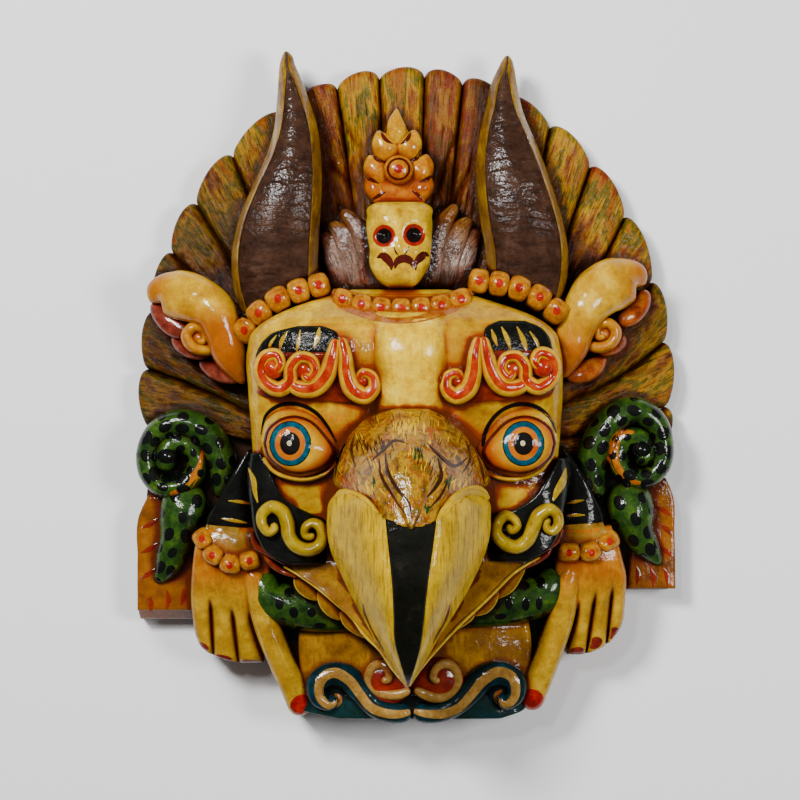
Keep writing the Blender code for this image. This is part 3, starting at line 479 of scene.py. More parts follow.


# The pinkish grey of the lower plumes is painted sheen on their brown; towards the top they fade to brown.
plume_paint_and_sheen = painted(
    "plume_brown_and_painted_sheen", ["#4a2e20", "#806454", "#a48878"], glaze_and_shade="#1c0e06", mottle=9, streak=(1.2, 14, 1),
    streak_ink="#1c0c05", streak_share=0.8, lumps=0.6, coat=0.8,
    fade=([(0.35, "#40200a"), (0.5, "#6c3c10"), (0.65, "#7c5414")], "Y", 76, 92),
)
PLUMES = {
    "left": [
        [
            (-31, 51.5, 31, 10.0, 3), (-35, 66, 32, 10.0, 4), (-41, 78.5, 32, 7.7, 4),
            (-48.5, 86, 31, 2.4, 2),
        ],
        [
            (-23.5, 52.5, 34, 9.4, 3), (-27.5, 69.5, 35, 9.4, 4), (-34, 83, 35, 7.7, 4),
            (-43.5, 92, 33, 2.4, 2),
        ],
        [
            (-16.5, 53.5, 37, 8.3, 3), (-20, 72.5, 38, 8.3, 4), (-26.5, 87.5, 38, 6, 4),
            (-36.5, 99, 36, 2.4, 2),
        ],
    ],
    "right": [
        [(26, 52.5, 31, 10.0, 3), (28.5, 67.5, 32, 10.0, 4), (34, 80, 32, 7.7, 4), (41.5, 88, 31, 2.4, 2)],
        [
            (18.5, 53.5, 34, 9.4, 3), (21, 70.5, 35, 9.4, 4), (27.5, 84, 35, 7.7, 4),
            (36.5, 94.5, 33, 2.4, 2),
        ],
        [(11.5, 54.5, 37, 8.3, 3), (13, 74, 38, 8.3, 4), (19, 88.5, 38, 6, 4), (28.5, 102, 36, 2.4, 2)],
    ],
}
for side, group in PLUMES.items():
    for i, stations in enumerate(group):
        rib(f"plume_{side}_{i}", stations, 60, [plume_paint_and_sheen], root=20)


# Lower plate. The thin wood behind the serpents, wings, hands and base, nearly all of it covered.
# It is the same block as the fan, left flat.


def slab(name, rows, height, count, columns, paints, root=4.0, lean=0.0, shrink=0.0, soften=2.0):
    """A block whose top is a height over x and y, with softened edges. A row is y and its two ends in x.

    Root is the level of its underside, or a function of y. Lean shifts the underside along y, and
    shrink narrows it.
    """
    fine = 200
    drawn = smooth(rows, fine, along=(0,))
    at = (1 - np.cos(np.linspace(0, math.pi, count))) / 2 * (fine - 1)
    drawn = np.stack([np.interp(at, np.arange(fine), drawn[:, c]) for c in range(3)], 1)
    share = np.sin(np.linspace(-math.pi / 2, math.pi / 2, columns))
    y = np.repeat(drawn[:, :1], columns, axis=1)
    half = (drawn[:, 2:3] - drawn[:, 1:2]) / 2
    x = (drawn[:, 1:2] + drawn[:, 2:3]) / 2 + half * share
    to_edge = np.minimum(half * (1 - np.abs(share)), np.minimum(y[0, 0] - y, y - y[-1, 0]))
    inward = np.clip(1 - to_edge / soften, 0, 1)
    z = height(x, y) - soften * (1 - np.sqrt(1 - inward**2))
    under_y = y + lean
    under_x = x * (1 - shrink)
    low = root(y) if callable(root) else root
    under = np.maximum(low, scoop(under_x, under_y) + OVER_SCOOP)
    under = np.minimum(under, z - 0.5)
    top = np.stack([x, y, z], 2).reshape(-1, 3)
    foot = np.stack([under_x, under_y, under + 0 * x], 2).reshape(-1, 3)
    first = len(top)
    faces = grid(count, columns) + grid(count, columns, first)
    edge = list(range(columns)) + [i * columns + columns - 1 for i in range(1, count)]
    edge += [(count - 1) * columns + j for j in range(columns - 2, -1, -1)]
    edge += [i * columns for i in range(count - 2, 0, -1)]
    faces += [(a, b, first + b, first + a) for a, b in zip(edge, edge[1:] + edge[:1])]
    return carve(name, np.concatenate([top, foot]), faces, paints)


def plate_top(level):
    """A flat top, raised where the scoop comes near it."""
    return lambda x, y: np.maximum(level, scoop(x, y) + OVER_SCOOP + 1)


plate_paint = painted(
    "plate_brown", [(0.35, "#2c1a08"), (0.6, "#54340e")], glaze_and_shade="#2a1608", lumps=0.28, deep=0.6,
)
rows = [(0, -147, 147), (-50, -148, 146), (-78, -150, 149), (-112, -151, 150), (-117, -150, 150)]
slab("lower_plate", rows, plate_top(13.0), 40, 60, [plate_paint], root=BACK_LEVEL, soften=1.0)
rows = [
    (-100, -118, 120), (-125, -118, 119), (-140, -112, 110), (-148, -95, 94), (-160, -74, 76),
    (-182, -58, 62),
]
slab("lower_plate_foot", rows, plate_top(15.0), 40, 40, [plate_paint], root=BACK_LEVEL, soften=1.0)


# Horns. Two long blades that grow out of the brow and lie over the fan, their tips standing free.
# Each has a flat front, hammered with the gouge and painted dark brown, between two ochre bevels.
horn_brown = painted(
    "horn_brown", ["#24120a", "#362014", "#4a3022"], glaze_and_shade="#0c0503", mottle=12, streak=(9, 5, 1),
    streak_ink="#160804", streak_share=0.5, lumps=0.42, specks=0.2, dents=2.4, coat=0.6,
    shine=("Y", 82, 118),
)
horn_ochre = painted(
    "horn_ochre", ["#56380a", "#7c560c", "#a07c12"], glaze_and_shade="#241004", mottle=14, streak=(1.5, 20, 1),
    streak_ink="#3c1e08", streak_share=0.6, lumps=0.28,
)
horn_brown.node_tree.nodes["Principled BSDF"].inputs["Coat Roughness"].default_value = 0.2
SLIMMED = 0.558  # a horn's half width, as a share of what its stations say
# A station is x, y, the half width before it is slimmed, and the level of its underside.
HORNS = {
    "left": [
        (-68, 188.5, 2.5, 22), (-67.5, 186.5, 5, 22), (-67.5, 182, 7.5, 22), (-66, 173.5, 11.5, 22),
        (-64, 160.5, 16.5, 21), (-62.5, 146.5, 21.5, 16), (-63.5, 129.5, 27.5, 9), (-67.5, 110.5, 35.5, 8),
        (-71.5, 92.5, 41, 8), (-74, 73, 43.5, 8), (-73.5, 53.5, 42, 8), (-72, 41, 38, 8),
    ],
    "right": [
        (57, 186, 2.5, 22), (57, 184, 5, 22), (56.5, 180, 7.8, 22), (55, 169.5, 13.5, 22),
        (55, 155.5, 18.5, 21), (56, 141.5, 26.5, 16), (58, 126.5, 33.5, 9), (61, 109.5, 38.5, 8),
        (64.5, 92.5, 41.5, 8), (67.5, 75.5, 41.5, 8), (67.5, 56, 39.5, 8), (67, 47.5, 36.5, 8),
    ],
}
for side, stations in HORNS.items():
    table = smooth(stations, 230)
    points, flow = [], []
    for k, (x, y, half, under) in enumerate(table):
        half *= SLIMMED
        share = k / (len(table) - 1)
        edge = 34 + 14 * math.sin(math.pi * share * 0.62)
        rise = 16 * min(1, 0.18 + 1.6 * share)
        bevel = min(0.86 * half, 4.6)
        ring = [
            (-0.82 * half, under), (-half, edge - 4), (-0.995 * half, edge - 1.5),
            (-half + 0.12 * bevel, edge),
        ]
        ring += [(-half + 0.4 * bevel, edge + 0.35 * rise), (-half + 0.75 * bevel, edge + 0.66 * rise)]
        ring += [(-half + 0.93 * bevel, edge + 0.77 * rise), (-half + bevel, edge + 0.76 * rise)]
        for s in np.linspace(0.95, 0.06, 11):
            ledge = 0.5 * ((y / 8.5 + 0.3 * math.sin(y / 5 + 2 * s)) % 1) * min(1, 3 * share)
            ring.append(((bevel - half) * s, edge + rise * (0.95 - 0.3 * s**2) + ledge))
        ring += [(-s, z) for s, z in reversed(ring)]
        for s, z in ring:
            points.append((x + s, y, z))
            flow.append((s, y, 0))
    size = len(ring)
    which = [6 < f < size - 8 for f in range(size)] * (len(table) - 1) + [0, 0]
    faces = capped(len(table), size)
    carve(f"horn_{side}", points, faces, [horn_ochre, horn_brown], which, grain=flow, sharp=60)


# Ears. Each is a rolled lobe with a curl beside it and three leaf folds below, on the fan beside the head.
# Cream and yellow at the top, rubbed out into orange, with flesh red on the folds.


def mound(name, centre, radii, edge, rise, paints, root=4.0):
    """A dome on an oval plan."""
    sides = 48
    angles = np.linspace(0, 2 * math.pi, sides, endpoint=False)
    climb = np.linspace(0, math.pi / 2 * 0.985, 16)
    points = []
    levels = [(1.0, root)] + [(math.cos(c), edge + rise * math.sin(c)) for c in climb]
    for share, height in levels:
        px, py = centre[0] + radii[0] * share * np.cos(angles), centre[1] + radii[1] * share * np.sin(angles)
        points.append(np.stack([px, py, np.full(sides, height)], 1))
    return carve(name, np.concatenate(points), capped(len(levels), sides), paints, sharp=60)


ear_cream = painted(
    "ear_cream", ["#986400", "#c09000", "#ecc440"], glaze_and_shade="#7a2408", mottle=14,
    fade=(["#843800", "#a05100", "#ac6f00"], "tint", 0.0, 1.0),
)
# How far the cream is rubbed out into orange.
RUBBED = {
    "left": lambda x, y: max(min(1, (48 - y) / 14), min(0.8, (-129 - x) / 14), 0),
    "right": lambda x, y: max(min(1, (42 - y) / 22), min(0.9, (x - 116) / 16), 0),
}
ear_red = painted("ear_fold_red", ["#440f08", "#70281a", "#944c30"], glaze_and_shade="#3a0c04", mottle=8)
ear_flame = painted("ear_fold_orange", ["#5c1c04", "#94400a", "#b06c10"], glaze_and_shade="#3a0c04", mottle=8)
ear_orange = painted("ear_orange", ["#8a4600", "#ac6c00", "#c09000"], glaze_and_shade="#7a2408", mottle=8)
EAR_LOBES = {
    "left": [
        (-144.5, 46.5, 39, 2, 4), (-140.5, 51, 41, 8.3, 7), (-130.5, 51, 45, 13.3, 11),
        (-117.5, 47.5, 49, 13.5, 13), (-108, 41.5, 52, 12, 13), (-102.5, 29, 53, 10.4, 11),
        (-98.5, 15.5, 53, 8.8, 9), (-94.5, 6, 52, 4.5, 6), (-91.5, 0.5, 50, 1.5, 3),
    ],
    "right": [
        (135, 57, 38, 2, 4), (130.5, 60, 41, 8.3, 7), (120.5, 58, 45, 14, 12), (108.5, 52.5, 50, 14.5, 13),
        (100.5, 43.5, 52, 12.5, 13), (94.5, 30.5, 53, 10.5, 10), (92, 19.5, 53, 9, 9),
        (89.5, 9.5, 52, 4.5, 6), (88, 4, 50, 1.5, 3),
    ],
}
EAR_CURLS = {
    "left": [
        (-106.5, 20.5, 50, 3, 5), (-112.5, 19.5, 50, 3.2, 6), (-120, 21.5, 50, 3.4, 7),
        (-123, 28, 50, 3.4, 7), (-118.5, 32.5, 50, 3.2, 7), (-113, 30, 50, 3, 6),
        (-113.5, 24.5, 50, 2.6, 6), (-117.5, 25, 50, 2.2, 6),
    ],
    "right": [
        (101.5, 22.5, 50, 3, 5), (107, 21, 50, 3.2, 6), (115, 24, 50, 3.4, 7), (117, 30, 50, 3.4, 7),
        (112.5, 34.5, 50, 3.2, 7), (107, 32.5, 50, 3, 6), (107.5, 27, 50, 2.6, 6),
        (111.5, 27.5, 50, 2.2, 6),
    ],
}
EAR_KNOBS = {"left": (-116, 26), "right": (110, 28.5)}
EAR_LEAVES = {
    "left": [
        [(-143.5, 47, 34, 3, 3), (-138, 39.5, 37, 5.5, 5), (-130, 33, 40, 6.5, 5), (-120.5, 29, 42, 4, 4)],
        [
            (-132.5, 27.5, 34, 2.5, 3), (-125.5, 22.5, 38, 5.5, 5), (-116, 19, 42, 5, 5),
            (-109.5, 18.5, 44, 3, 4),
        ],
        [(-117, 13.5, 36, 2.5, 3), (-108.5, 9, 40, 5.5, 5), (-100, 6, 44, 5.5, 5), (-92.5, 3.5, 46, 3, 4)],
    ],
    "right": [
        [(135.5, 54, 32, 3, 3), (132.5, 45.5, 36, 5, 5), (127, 39.5, 40, 5.5, 5), (119.5, 35, 42, 4, 4)],
        [(124, 27.5, 34, 2.5, 3), (118.5, 23.5, 38, 5, 5), (112, 21, 42, 5, 5), (106.5, 19.5, 44, 3, 4)],
        [(112, 16.5, 36, 2.5, 3), (106, 10.5, 40, 5.5, 5), (97.5, 6.5, 44, 5.5, 5), (90, 4, 46, 3, 4)],
    ],
}
for side in ("left", "right"):
    tint(rib(f"ear_{side}", EAR_LOBES[side], 80, [ear_cream], arc=21), RUBBED[side])
    rib(f"ear_curl_{side}", EAR_CURLS[side], 70, [ear_orange])
    mound(f"ear_knob_{side}", EAR_KNOBS[side], (5.4, 5.8), 46, 8, [ear_orange])
    for i, leaf in enumerate(EAR_LEAVES[side]):
        rib(f"ear_leaf_{side}_{i}", leaf, 40, [ear_red if side == "left" else ear_flame])


# Head. The broad crowned face that everything else is set on, with a swelling over the nose.
# Yellow ochre, with a paler painted highlight on the swelling, turned orange under the brow and eyes by toner
# and painted shade.


def eased(value, keys):
    """Reads a smooth curve through keys of place and height."""
    table = smooth(keys, 240, along=(0,))
    return np.interp(value, table[:, 0], table[:, 1])


# Its second, paler colours come in with the tint: a painted highlight on the swelling.
face_yellow = painted(
    "face_yellow", [(0.34, "#885400"), (0.45, "#a87c00"), (0.54, "#bc9200"), (0.66, "#e0b400")],
    glaze_and_shade="#5a2206", mottle=26, streak=(3, 9, 4), streak_ink="#a8620a", streak_share=0.3, lumps=0.28,
    deep=1.0, fade=(["#b88c00", "#e4b800", "#fce050"], "tint", 0.2, 1.0),
)


def head_height(x, y):
    """The face, crowned from side to side, with a hollow for each eye and a swelling over the nose."""
    front = eased(y, [
        (-100, 62), (-85, 68), (-60, 75), (-30, 82), (0, 92), (20, 96), (34, 91), (44, 79), (54, 66),
    ])
    edge = eased(y, [
        (-100, 50), (-85, 52), (-60, 56), (-30, 58), (0, 60), (20, 62), (34, 61), (44, 59), (54, 57),
    ])
    side = np.clip(1 - np.abs(x / 90) ** 4, 0, 1)
    socket = 5 * np.exp(-((np.abs(x) - 62) ** 2 + (y + 31) ** 2) / 500)
    swelling = np.clip(1 - np.abs((x - 2) / 19) ** 3, 0, 1) * np.clip(1 - np.abs((y - 8) / 33) ** 4, 0, 1)
    return edge + (front - edge) * side**0.5 - socket + 9 * swelling**0.7


rows = [
    (53, -30, 22.5), (50, -41, 35), (45.5, -55.5, 49), (39.5, -70, 66), (30.5, -84, 80.5), (19, -88.5, 85),
    (-3, -88, 86.5), (-25, -86.5, 85.5), (-47.5, -85.5, 84), (-67, -86, 85.5), (-81, -84, 83),
    (-92, -78.5, 77.5), (-101, -66, 66.5),
]
head = slab("head", rows, head_height, 120, 110, [face_yellow], soften=7)


def head_painted_highlight(x, y):
    """Brightest on the swelling over the nose, where a highlight is painted, and a little brighter in a band
    above it.
    """
    swelling = math.exp(-(((x - 2.5) / 15) ** 4) - ((y - 8) / 30) ** 4)
    return 1.15 * swelling + 0.3 * math.exp(-(((y - 30) / 12) ** 2))


tint(head, head_painted_highlight)


# Cere. The soft skin over the root of the beak, mottled yellow, brown and green, with a raised middle.
# A few knife cuts are drawn over it as dark strokes, painted shade with no groove carved, and strokes of
# dark, light, orange and green are brushed across.
cere_paint = painted(
    "cere_mottle",
    [(0.32, "#3c240a"), (0.42, "#7a500e"), (0.5, "#a47c08"), (0.57, "#8c4c08"), (0.64, "#5c5008")],
    glaze_and_shade="#1e0e04", mottle=14, streak=(2.6, 9, 3), streak_ink="#2e1806", streak_share=0.5, lumps=0.55,
    coat=1.0,
)
cere_dark = painted("cere_dark", [(0.4, "#241204"), (0.7, "#442408")], glaze_and_shade="#140a02", mottle=4)
cere_light = painted("cere_light", [(0.4, "#bc9000"), (0.7, "#e8c820")], glaze_and_shade="#6a3c04", mottle=4)
cere_orange = painted("cere_orange", [(0.4, "#8c3402"), (0.7, "#ac6004")], glaze_and_shade="#4a1804", mottle=4)
cere_green = painted("cere_green", [(0.4, "#0c2c10"), (0.7, "#1c481c")], glaze_and_shade="#061406", mottle=4)


def cere_height(x, y):
    """A fold from cheek to cheek that climbs towards the beak, with a boss in its middle."""
    middle = eased(y, [(-80, 152), (-72, 151), (-57, 146), (-46, 142), (-35, 134), (-24, 121), (-12, 102)])
    edge = eased(y, [(-80, 151), (-72, 146), (-57, 94), (-46, 93), (-35, 93), (-24, 94), (-12, 97)])
    half = eased(y, [(-80, 7), (-72, 15), (-57, 43), (-46, 42), (-35, 37), (-24, 29), (-12, 14)])
    top = edge + (middle - edge) * np.clip(1 - np.abs((x - 2) / half) ** 2.2, 0, 1)
    boss_half = eased(y, [(-76, 1), (-62, 8), (-50, 13), (-41, 14.5), (-34, 9), (-31, 1)])
    return top + 2.4 * np.clip(1 - np.abs((x - 2) / boss_half) ** 4, 0, 1) * ((y > -76) & (y < -31))


rows = [
    (-13, -6, 11.5), (-15.5, -15.5, 17), (-23.5, -27.5, 28), (-34.5, -35, 36.5), (-46.5, -39.5, 43.5),
    (-55, -38.5, 43.5), (-60.5, -30.5, 29.5), (-65, -20.5, 20.5), (-72.5, -11.5, 15.5), (-77, -2.5, 3.5),
]
cere = slab("cere", rows, cere_height, 120, 120, [cere_paint], root=66, soften=4)


# Beak. Two long yellow flanks that meet in a flat black ridge, coming down to a sharp point.
# The flanks keep the strokes of the brush along them, and the black is scuffed near the tip.
beak_yellow = painted(
    "beak_yellow", [(0.3, "#8c6a00"), (0.45, "#ac8a00"), (0.6, "#c49e00"), (0.75, "#d8b820")],
    glaze_and_shade="#5a2c08", mottle=16, streak=(1.2, 16, 1), streak_ink="#7c5404", streak_share=0.7, lumps=0.25,
    coat=0.3,
)
beak_black = painted(
    "beak_black", [(0.35, "#080805"), (0.6, "#10100a"), (0.78, "#242218")], glaze_and_shade="#050403", mottle=7,
    lumps=0.25, specks=0.1, coat=0.12,
)


LAID_STEP = 0.7  # between the rows of laid paint, mm
EDGE_SINK = 0.12  # how far the edge of laid paint sinks, mm


def tree_of(pieces):
    """A search tree over carved pieces, for laying paint on them."""
    points, polygons = [], []
    for piece in pieces:
        first = len(points)
        points += [v.co.copy() for v in piece.data.vertices]
        polygons += [[first + i for i in p.vertices] for p in piece.data.polygons]
    return BVHTree.FromPolygons(points, polygons)


def level_under(tree, x, y, last):
    """Height in mm of the surface under a place in mm, or the last height where there is none."""
    above = Vector(((x + DRAWN_FROM[0]) / 1000, (y + DRAWN_FROM[1]) / 1000, 0.3))
    hit = tree.ray_cast(above, Vector((0, 0, -1)))
    return hit[0].z * 1000 if hit[0] is not None else last


def path_length(stations):
    return sum(math.dist(a[:2], b[:2]) for a, b in zip(stations, stations[1:]))


def strokes(name, paths, onto, paint, lift=0.15):
    """Lays brush strokes on carved pieces. A path's station is x, y and its half width, in mm."""
    tree = tree_of(onto)
    points, flow, faces = [], [], []
    for path in paths:
        count = max(8, int(path_length(path) / LAID_STEP))
        table = smooth(path, count)
        first, last = len(points), 0.0
        for (x, y, half), (dx, dy), k in zip(table, heading(table), range(count)):
            for a in (-1, -0.6, 0, 0.6, 1):
                px, py = x - dy * half * a, y + dx * half * a
                last = level_under(tree, px, py, last)
                points.append((px, py, last + lift - EDGE_SINK * a * a))
                flow.append((half * a, k * LAID_STEP, 0))
        faces += grid(count, 5, first)
    return carve(name, points, faces, [paint], grain=flow, sharp=80)


def spots(name, places, onto, paint, lift=0.15, drop=2.5):
    """Lays round or oval spots on carved pieces, cut off where the surface falls away by more than the drop.

    A place is x, y, the two radii in mm, and a turn in degrees.
    """
    tree = tree_of(onto)
    points, faces = [], []
    for x, y, wide, tall, turn in places:
        middle = level_under(tree, x, y, None)
        if middle is None:
            continue
        first = len(points)
        points.append((x, y, middle + lift))
        angle = math.radians(turn)
        rings, sides = max(2, int(max(wide, tall) / LAID_STEP)), 48
        reached, stopped = [(x, y, middle)] * sides, set()
        for r in range(1, rings + 1):
            for s in range(sides):
                u = wide * r / rings * math.cos(2 * math.pi * s / sides)
                v = tall * r / rings * math.sin(2 * math.pi * s / sides)
                px = x + u * math.cos(angle) - v * math.sin(angle)
                py = y + u * math.sin(angle) + v * math.cos(angle)
                level = level_under(tree, px, py, None)
                if level is None or level < reached[s][2] - drop:
                    stopped.add(s)
                if s not in stopped:
                    reached[s] = (px, py, level)
                px, py, level = reached[s]
                points.append((px, py, level + lift - (EDGE_SINK if r == rings else 0)))
        faces += [(first, first + 1 + s, first + 1 + (s + 1) % sides) for s in range(sides)]
        faces += grid(rings, sides, first + 1, around=True)
    return carve(name, points, faces, [paint], sharp=80)


# A station is y, then the outer edge, the ridge's left and right edges and the other outer edge in x, and the
# levels of the outer edge and of the ridge.
stations = [
    (-57, -36, -13, 17, 38, 106, 144), (-62, -41, -12.5, 16.5, 43.5, 107, 147),
    (-72, -43, -11.3, 15.4, 45.2, 108, 150), (-88, -41.5, -9.6, 13.3, 43.2, 108, 151.5),
    (-105, -34.2, -7.9, 10.9, 36, 110, 152), (-121, -26.2, -7.1, 9.2, 27, 112, 148),
    (-137.5, -17, -6.3, 7.4, 16.5, 113, 142), (-149, -9.5, -3.2, 4.6, 9.7, 113.5, 134),
    (-158, -3.4, -0.6, 1.9, 4.6, 113, 125), (-162, -0.4, 0.5, 1.1, 2.2, 112, 117),
]
table = smooth(stations, 90, along=(0,))
points, flow = [], []
outward = np.linspace(1, 0, 18)
over_ridge = (0.04, 0.2, 0.5, 0.8, 0.96)
for y, left, ridge_left, ridge_right, right, edge, ridge in table:
    climb = [(1 - a, edge + (ridge - 1.2 - edge) * (1 - a**1.7)) for a in outward]
    line = [(left + (ridge_left - left) * share, z) for share, z in climb]
    span = ridge_right - ridge_left
    line += [(ridge_left + span * t, ridge + 0.6 * math.sin(math.pi * t)) for t in over_ridge]
    line += [(right + (ridge_right - right) * share, z) for share, z in reversed(climb)]
    notch = np.interp(y, [-74.5, -71, -63, -58, -56], [0, 13, 23, 31, 40])
    line = [(x, z - 12 if abs(x - 2 - 0.03 * notch) < notch else z) for x, z in line]
    low = np.interp(y, [-162, -140, -110, -60], [104, 92, 72, 60])
    line = [(left, low)] + line + [(right, low)]
    points += [(x, y, z) for x, z in line]
    flow += [(x, y, 0) for x, z in line]
size, first = len(line), len(outward)
which = [first <= f <= first + len(over_ridge) for f in range(size)] * (len(table) - 1) + [0, 0]
beak = carve("beak", points, capped(len(table), size), [beak_yellow, beak_black], which, grain=flow, sharp=45)
BEAK_RIMS = {
    "left": [
        (-39.5, -63.5, 107, 1.0, 1), (-35, -59.5, 112, 3, 2.4), (-29, -60, 123, 3.4, 2.6),
        (-22, -63.5, 136, 3.2, 2.4), (-17, -68.5, 143, 2.6, 2.2), (-12, -74.5, 148, 1.0, 1.2),
    ],
    "right": [
        (44.5, -62, 107, 1.0, 1), (39.5, -58, 112, 3, 2.4), (32, -58, 123, 3.4, 2.6),
        (25.5, -61.5, 136, 3.2, 2.4), (20, -67, 143, 2.6, 2.2), (15.5, -73, 148, 1.0, 1.2),
    ],
}
for side, stations in BEAK_RIMS.items():
    rib(f"beak_rim_{side}", stations, 70, [beak_yellow], root=90)
maroon = painted("maroon_line", [(0.3, "#2c0602"), (0.6, "#4c1006")], glaze_and_shade="#140201", mottle=4)
# The knife cuts are not carved: each is a dark stroke, painted shade where a cut would be.
CERE_CUT_SHADES = [
    [(-19, -41, 0.3), (-12.5, -35, 0.9), (-6.5, -30, 0.7), (0.5, -31.5, 0.3)],
    [(10.5, -31, 0.3), (16.5, -37, 1.0), (26, -43.5, 0.9), (32.5, -39.5, 0.3)],
    [(-11.5, -36.5, 0.4), (-10, -46.5, 1.0), (-5.5, -54.5, 0.9), (1, -63.5, 0.8), (2, -70.5, 0.3)],
    [(16.5, -39, 0.4), (18, -49, 1.2), (15, -54.5, 1.0), (10.5, -59.5, 0.4)],
    [(-28.5, -27, 0.3), (-30, -35, 0.9), (-27.5, -44.5, 0.3)],
    [(-33.5, -31.5, 0.3), (-37.5, -41, 0.8), (-39, -50.5, 0.3)],
    [(32, -30.5, 0.3), (34, -40, 0.8), (30, -47, 0.3)],
    [(37.5, -36.5, 0.3), (40.5, -45.5, 0.8), (42, -54, 0.3)],
    [(-15, -39.5, 0.3), (-13.5, -48.5, 0.8), (-8, -58, 0.7), (-1.5, -67.5, 0.3)],
    [(21.5, -51.5, 0.3), (18, -58.5, 0.8), (12, -65, 0.3)],
]
strokes("cere_cut_shade", CERE_CUT_SHADES, [cere], cere_dark)
random.seed(11)
combed = {"dark": [], "light": [], "orange": [], "green": []}
for _ in range(120):
    turn, reach = random.uniform(-1.25, 1.25), random.uniform(26, 62)
    kind = "dark" if random.random() < 0.62 else "light"
    combed[kind].append((2 + reach * 0.72 * math.sin(turn), -70 + reach * math.cos(turn), turn, 0.32))
# Each patch of colour is a kind, its middle, its half width and half height, and its number of strokes.
CERE_PATCHES = [
    ("orange", (-33.5, -50.5, 4.5, 6.0, 16)), ("orange", (13, -24.5, 2.2, 4.5, 6)),
    ("orange", (-8.5, -61, 2.4, 5.5, 8)), ("orange", (38.5, -50.5, 2.5, 5.0, 7)),
    ("green", (6, -35.5, 2.2, 5.0, 10)), ("green", (22.5, -51, 2.2, 4.5, 10)),
    ("green", (10.5, -65.5, 1.4, 2.6, 5)), ("green", (-18.5, -51.5, 0.8, 4.0, 3)),
    ("light", (-23.5, -54.5, 5.0, 6.5, 16)), ("light", (28, -53.5, 4.0, 5.0, 12)),
    ("light", (0.5, -22, 9.0, 4.0, 22)), ("dark", (-18.5, -32, 10, 6.0, 26)),
]
for kind, (x, y, wide, tall, number) in CERE_PATCHES:
    for _ in range(number):
        u, v = random.uniform(-1, 1), random.uniform(-0.6, 0.6)
        combed[kind].append((x + wide * u, y + tall * v * (1 - u * u) ** 0.5 + 1.5, x / 55, 0.55))
colours = {"dark": cere_dark, "light": cere_light, "orange": cere_orange, "green": cere_green}
for kind, found in combed.items():
    paths = []
    for x, y, turn, half in found:
        lean, long = turn * 0.55 + random.uniform(-0.2, 0.2), random.uniform(2.5, 6)
        dx, dy = math.sin(lean) * long, math.cos(lean) * long
        paths.append([(x - dx * k, y - dy * k, w) for k, w in ((0, 0.1), (0.5, half), (1, 0.1))])
    strokes(f"cere_brush_{kind}", paths, [cere], colours[kind], lift=0.1)
strokes("nostrils", [
    [(-23.5, -117, 0.3), (-22.3, -123, 0.7), (-19.5, -130, 0.6), (-14.5, -139, 0.7), (-12.5, -143, 0.3)],
    [(22.5, -117, 0.3), (21.8, -122, 0.7), (19.5, -128, 0.6), (16.5, -133, 0.7), (14, -138, 0.3)],
], [beak], maroon)


# Gape. The lower edge of the open beak, a plate from both cheeks to the point, undercut below.
# Three leaf-shaped lobes hang under each side, with red whiskers at the corner.
gape_yellow = painted(
    "gape_yellow", ["#5c3a08", "#855808", "#a88308"], glaze_and_shade="#4a2006", mottle=12, streak=(2, 14, 2),
    streak_ink="#8a5210", streak_share=0.5, coat=0.35,
)


def gape_height(x, y):
    """A plate that climbs to the point, a little crowned from side to side."""
    edge = eased(y, [(-162, 110), (-147, 98), (-131, 86), (-114, 74), (-98, 64), (-84, 66)])
    half = eased(y, [(-162, 2), (-147, 20), (-131, 37), (-114, 57), (-98, 80), (-84, 80)])
    return edge + 9 * np.clip(1 - np.abs(x / half) ** 2, 0, 1)


rows = [
    (-89, -72.5, 75), (-99, -65.5, 68.5), (-105.5, -59.5, 58.5), (-111.5, -50.5, 51.5), (-119, -41, 43.5),
    (-125, -34, 37), (-131.5, -27.5, 29.5), (-142.5, -16.5, 18), (-151, -10, 10.5), (-158, -4, 4.5),
    (-162.5, -1, 1),
]


def gape_root(y):
    return np.interp(y, [-162, -84], [36, 58])


slab("gape", rows, gape_height, 60, 40, [gape_yellow], root=gape_root, lean=24, shrink=0.2)
whisker_red = painted(
    "whisker_red", ["#3c0e04", "#702006", "#8c3c0a"], glaze_and_shade="#3a0c04", mottle=5, lumps=0.28,
)
GAPE_LIPS = {
    "left": [
        (-68.5, -100.5, 66, 0.5, 1), (-59.5, -105.5, 68, 0.8, 1.6), (-48, -113, 74, 0.9, 1.8),
        (-38.5, -120.5, 79, 0.9, 1.8), (-30.5, -127, 85, 0.9, 1.8), (-23, -136.5, 92, 0.9, 1.8),
        (-14.5, -144.5, 98, 0.8, 1.8), (-8, -153.5, 105, 0.7, 1.6), (-1, -161.5, 110, 0.5, 1.2),
    ],
    "right": [
        (74, -95.5, 66, 0.5, 1), (68, -98.5, 68, 0.8, 1.6), (58, -105, 71, 0.9, 1.8),
        (51, -111.5, 76, 0.9, 1.8), (43, -119, 80, 0.9, 1.8), (36, -125, 85, 0.9, 1.8),
        (29, -131, 91, 0.9, 1.8), (18, -142, 98, 0.8, 1.8), (10.5, -150, 104, 0.7, 1.6),
        (2, -161, 110, 0.5, 1.2),
    ],
}
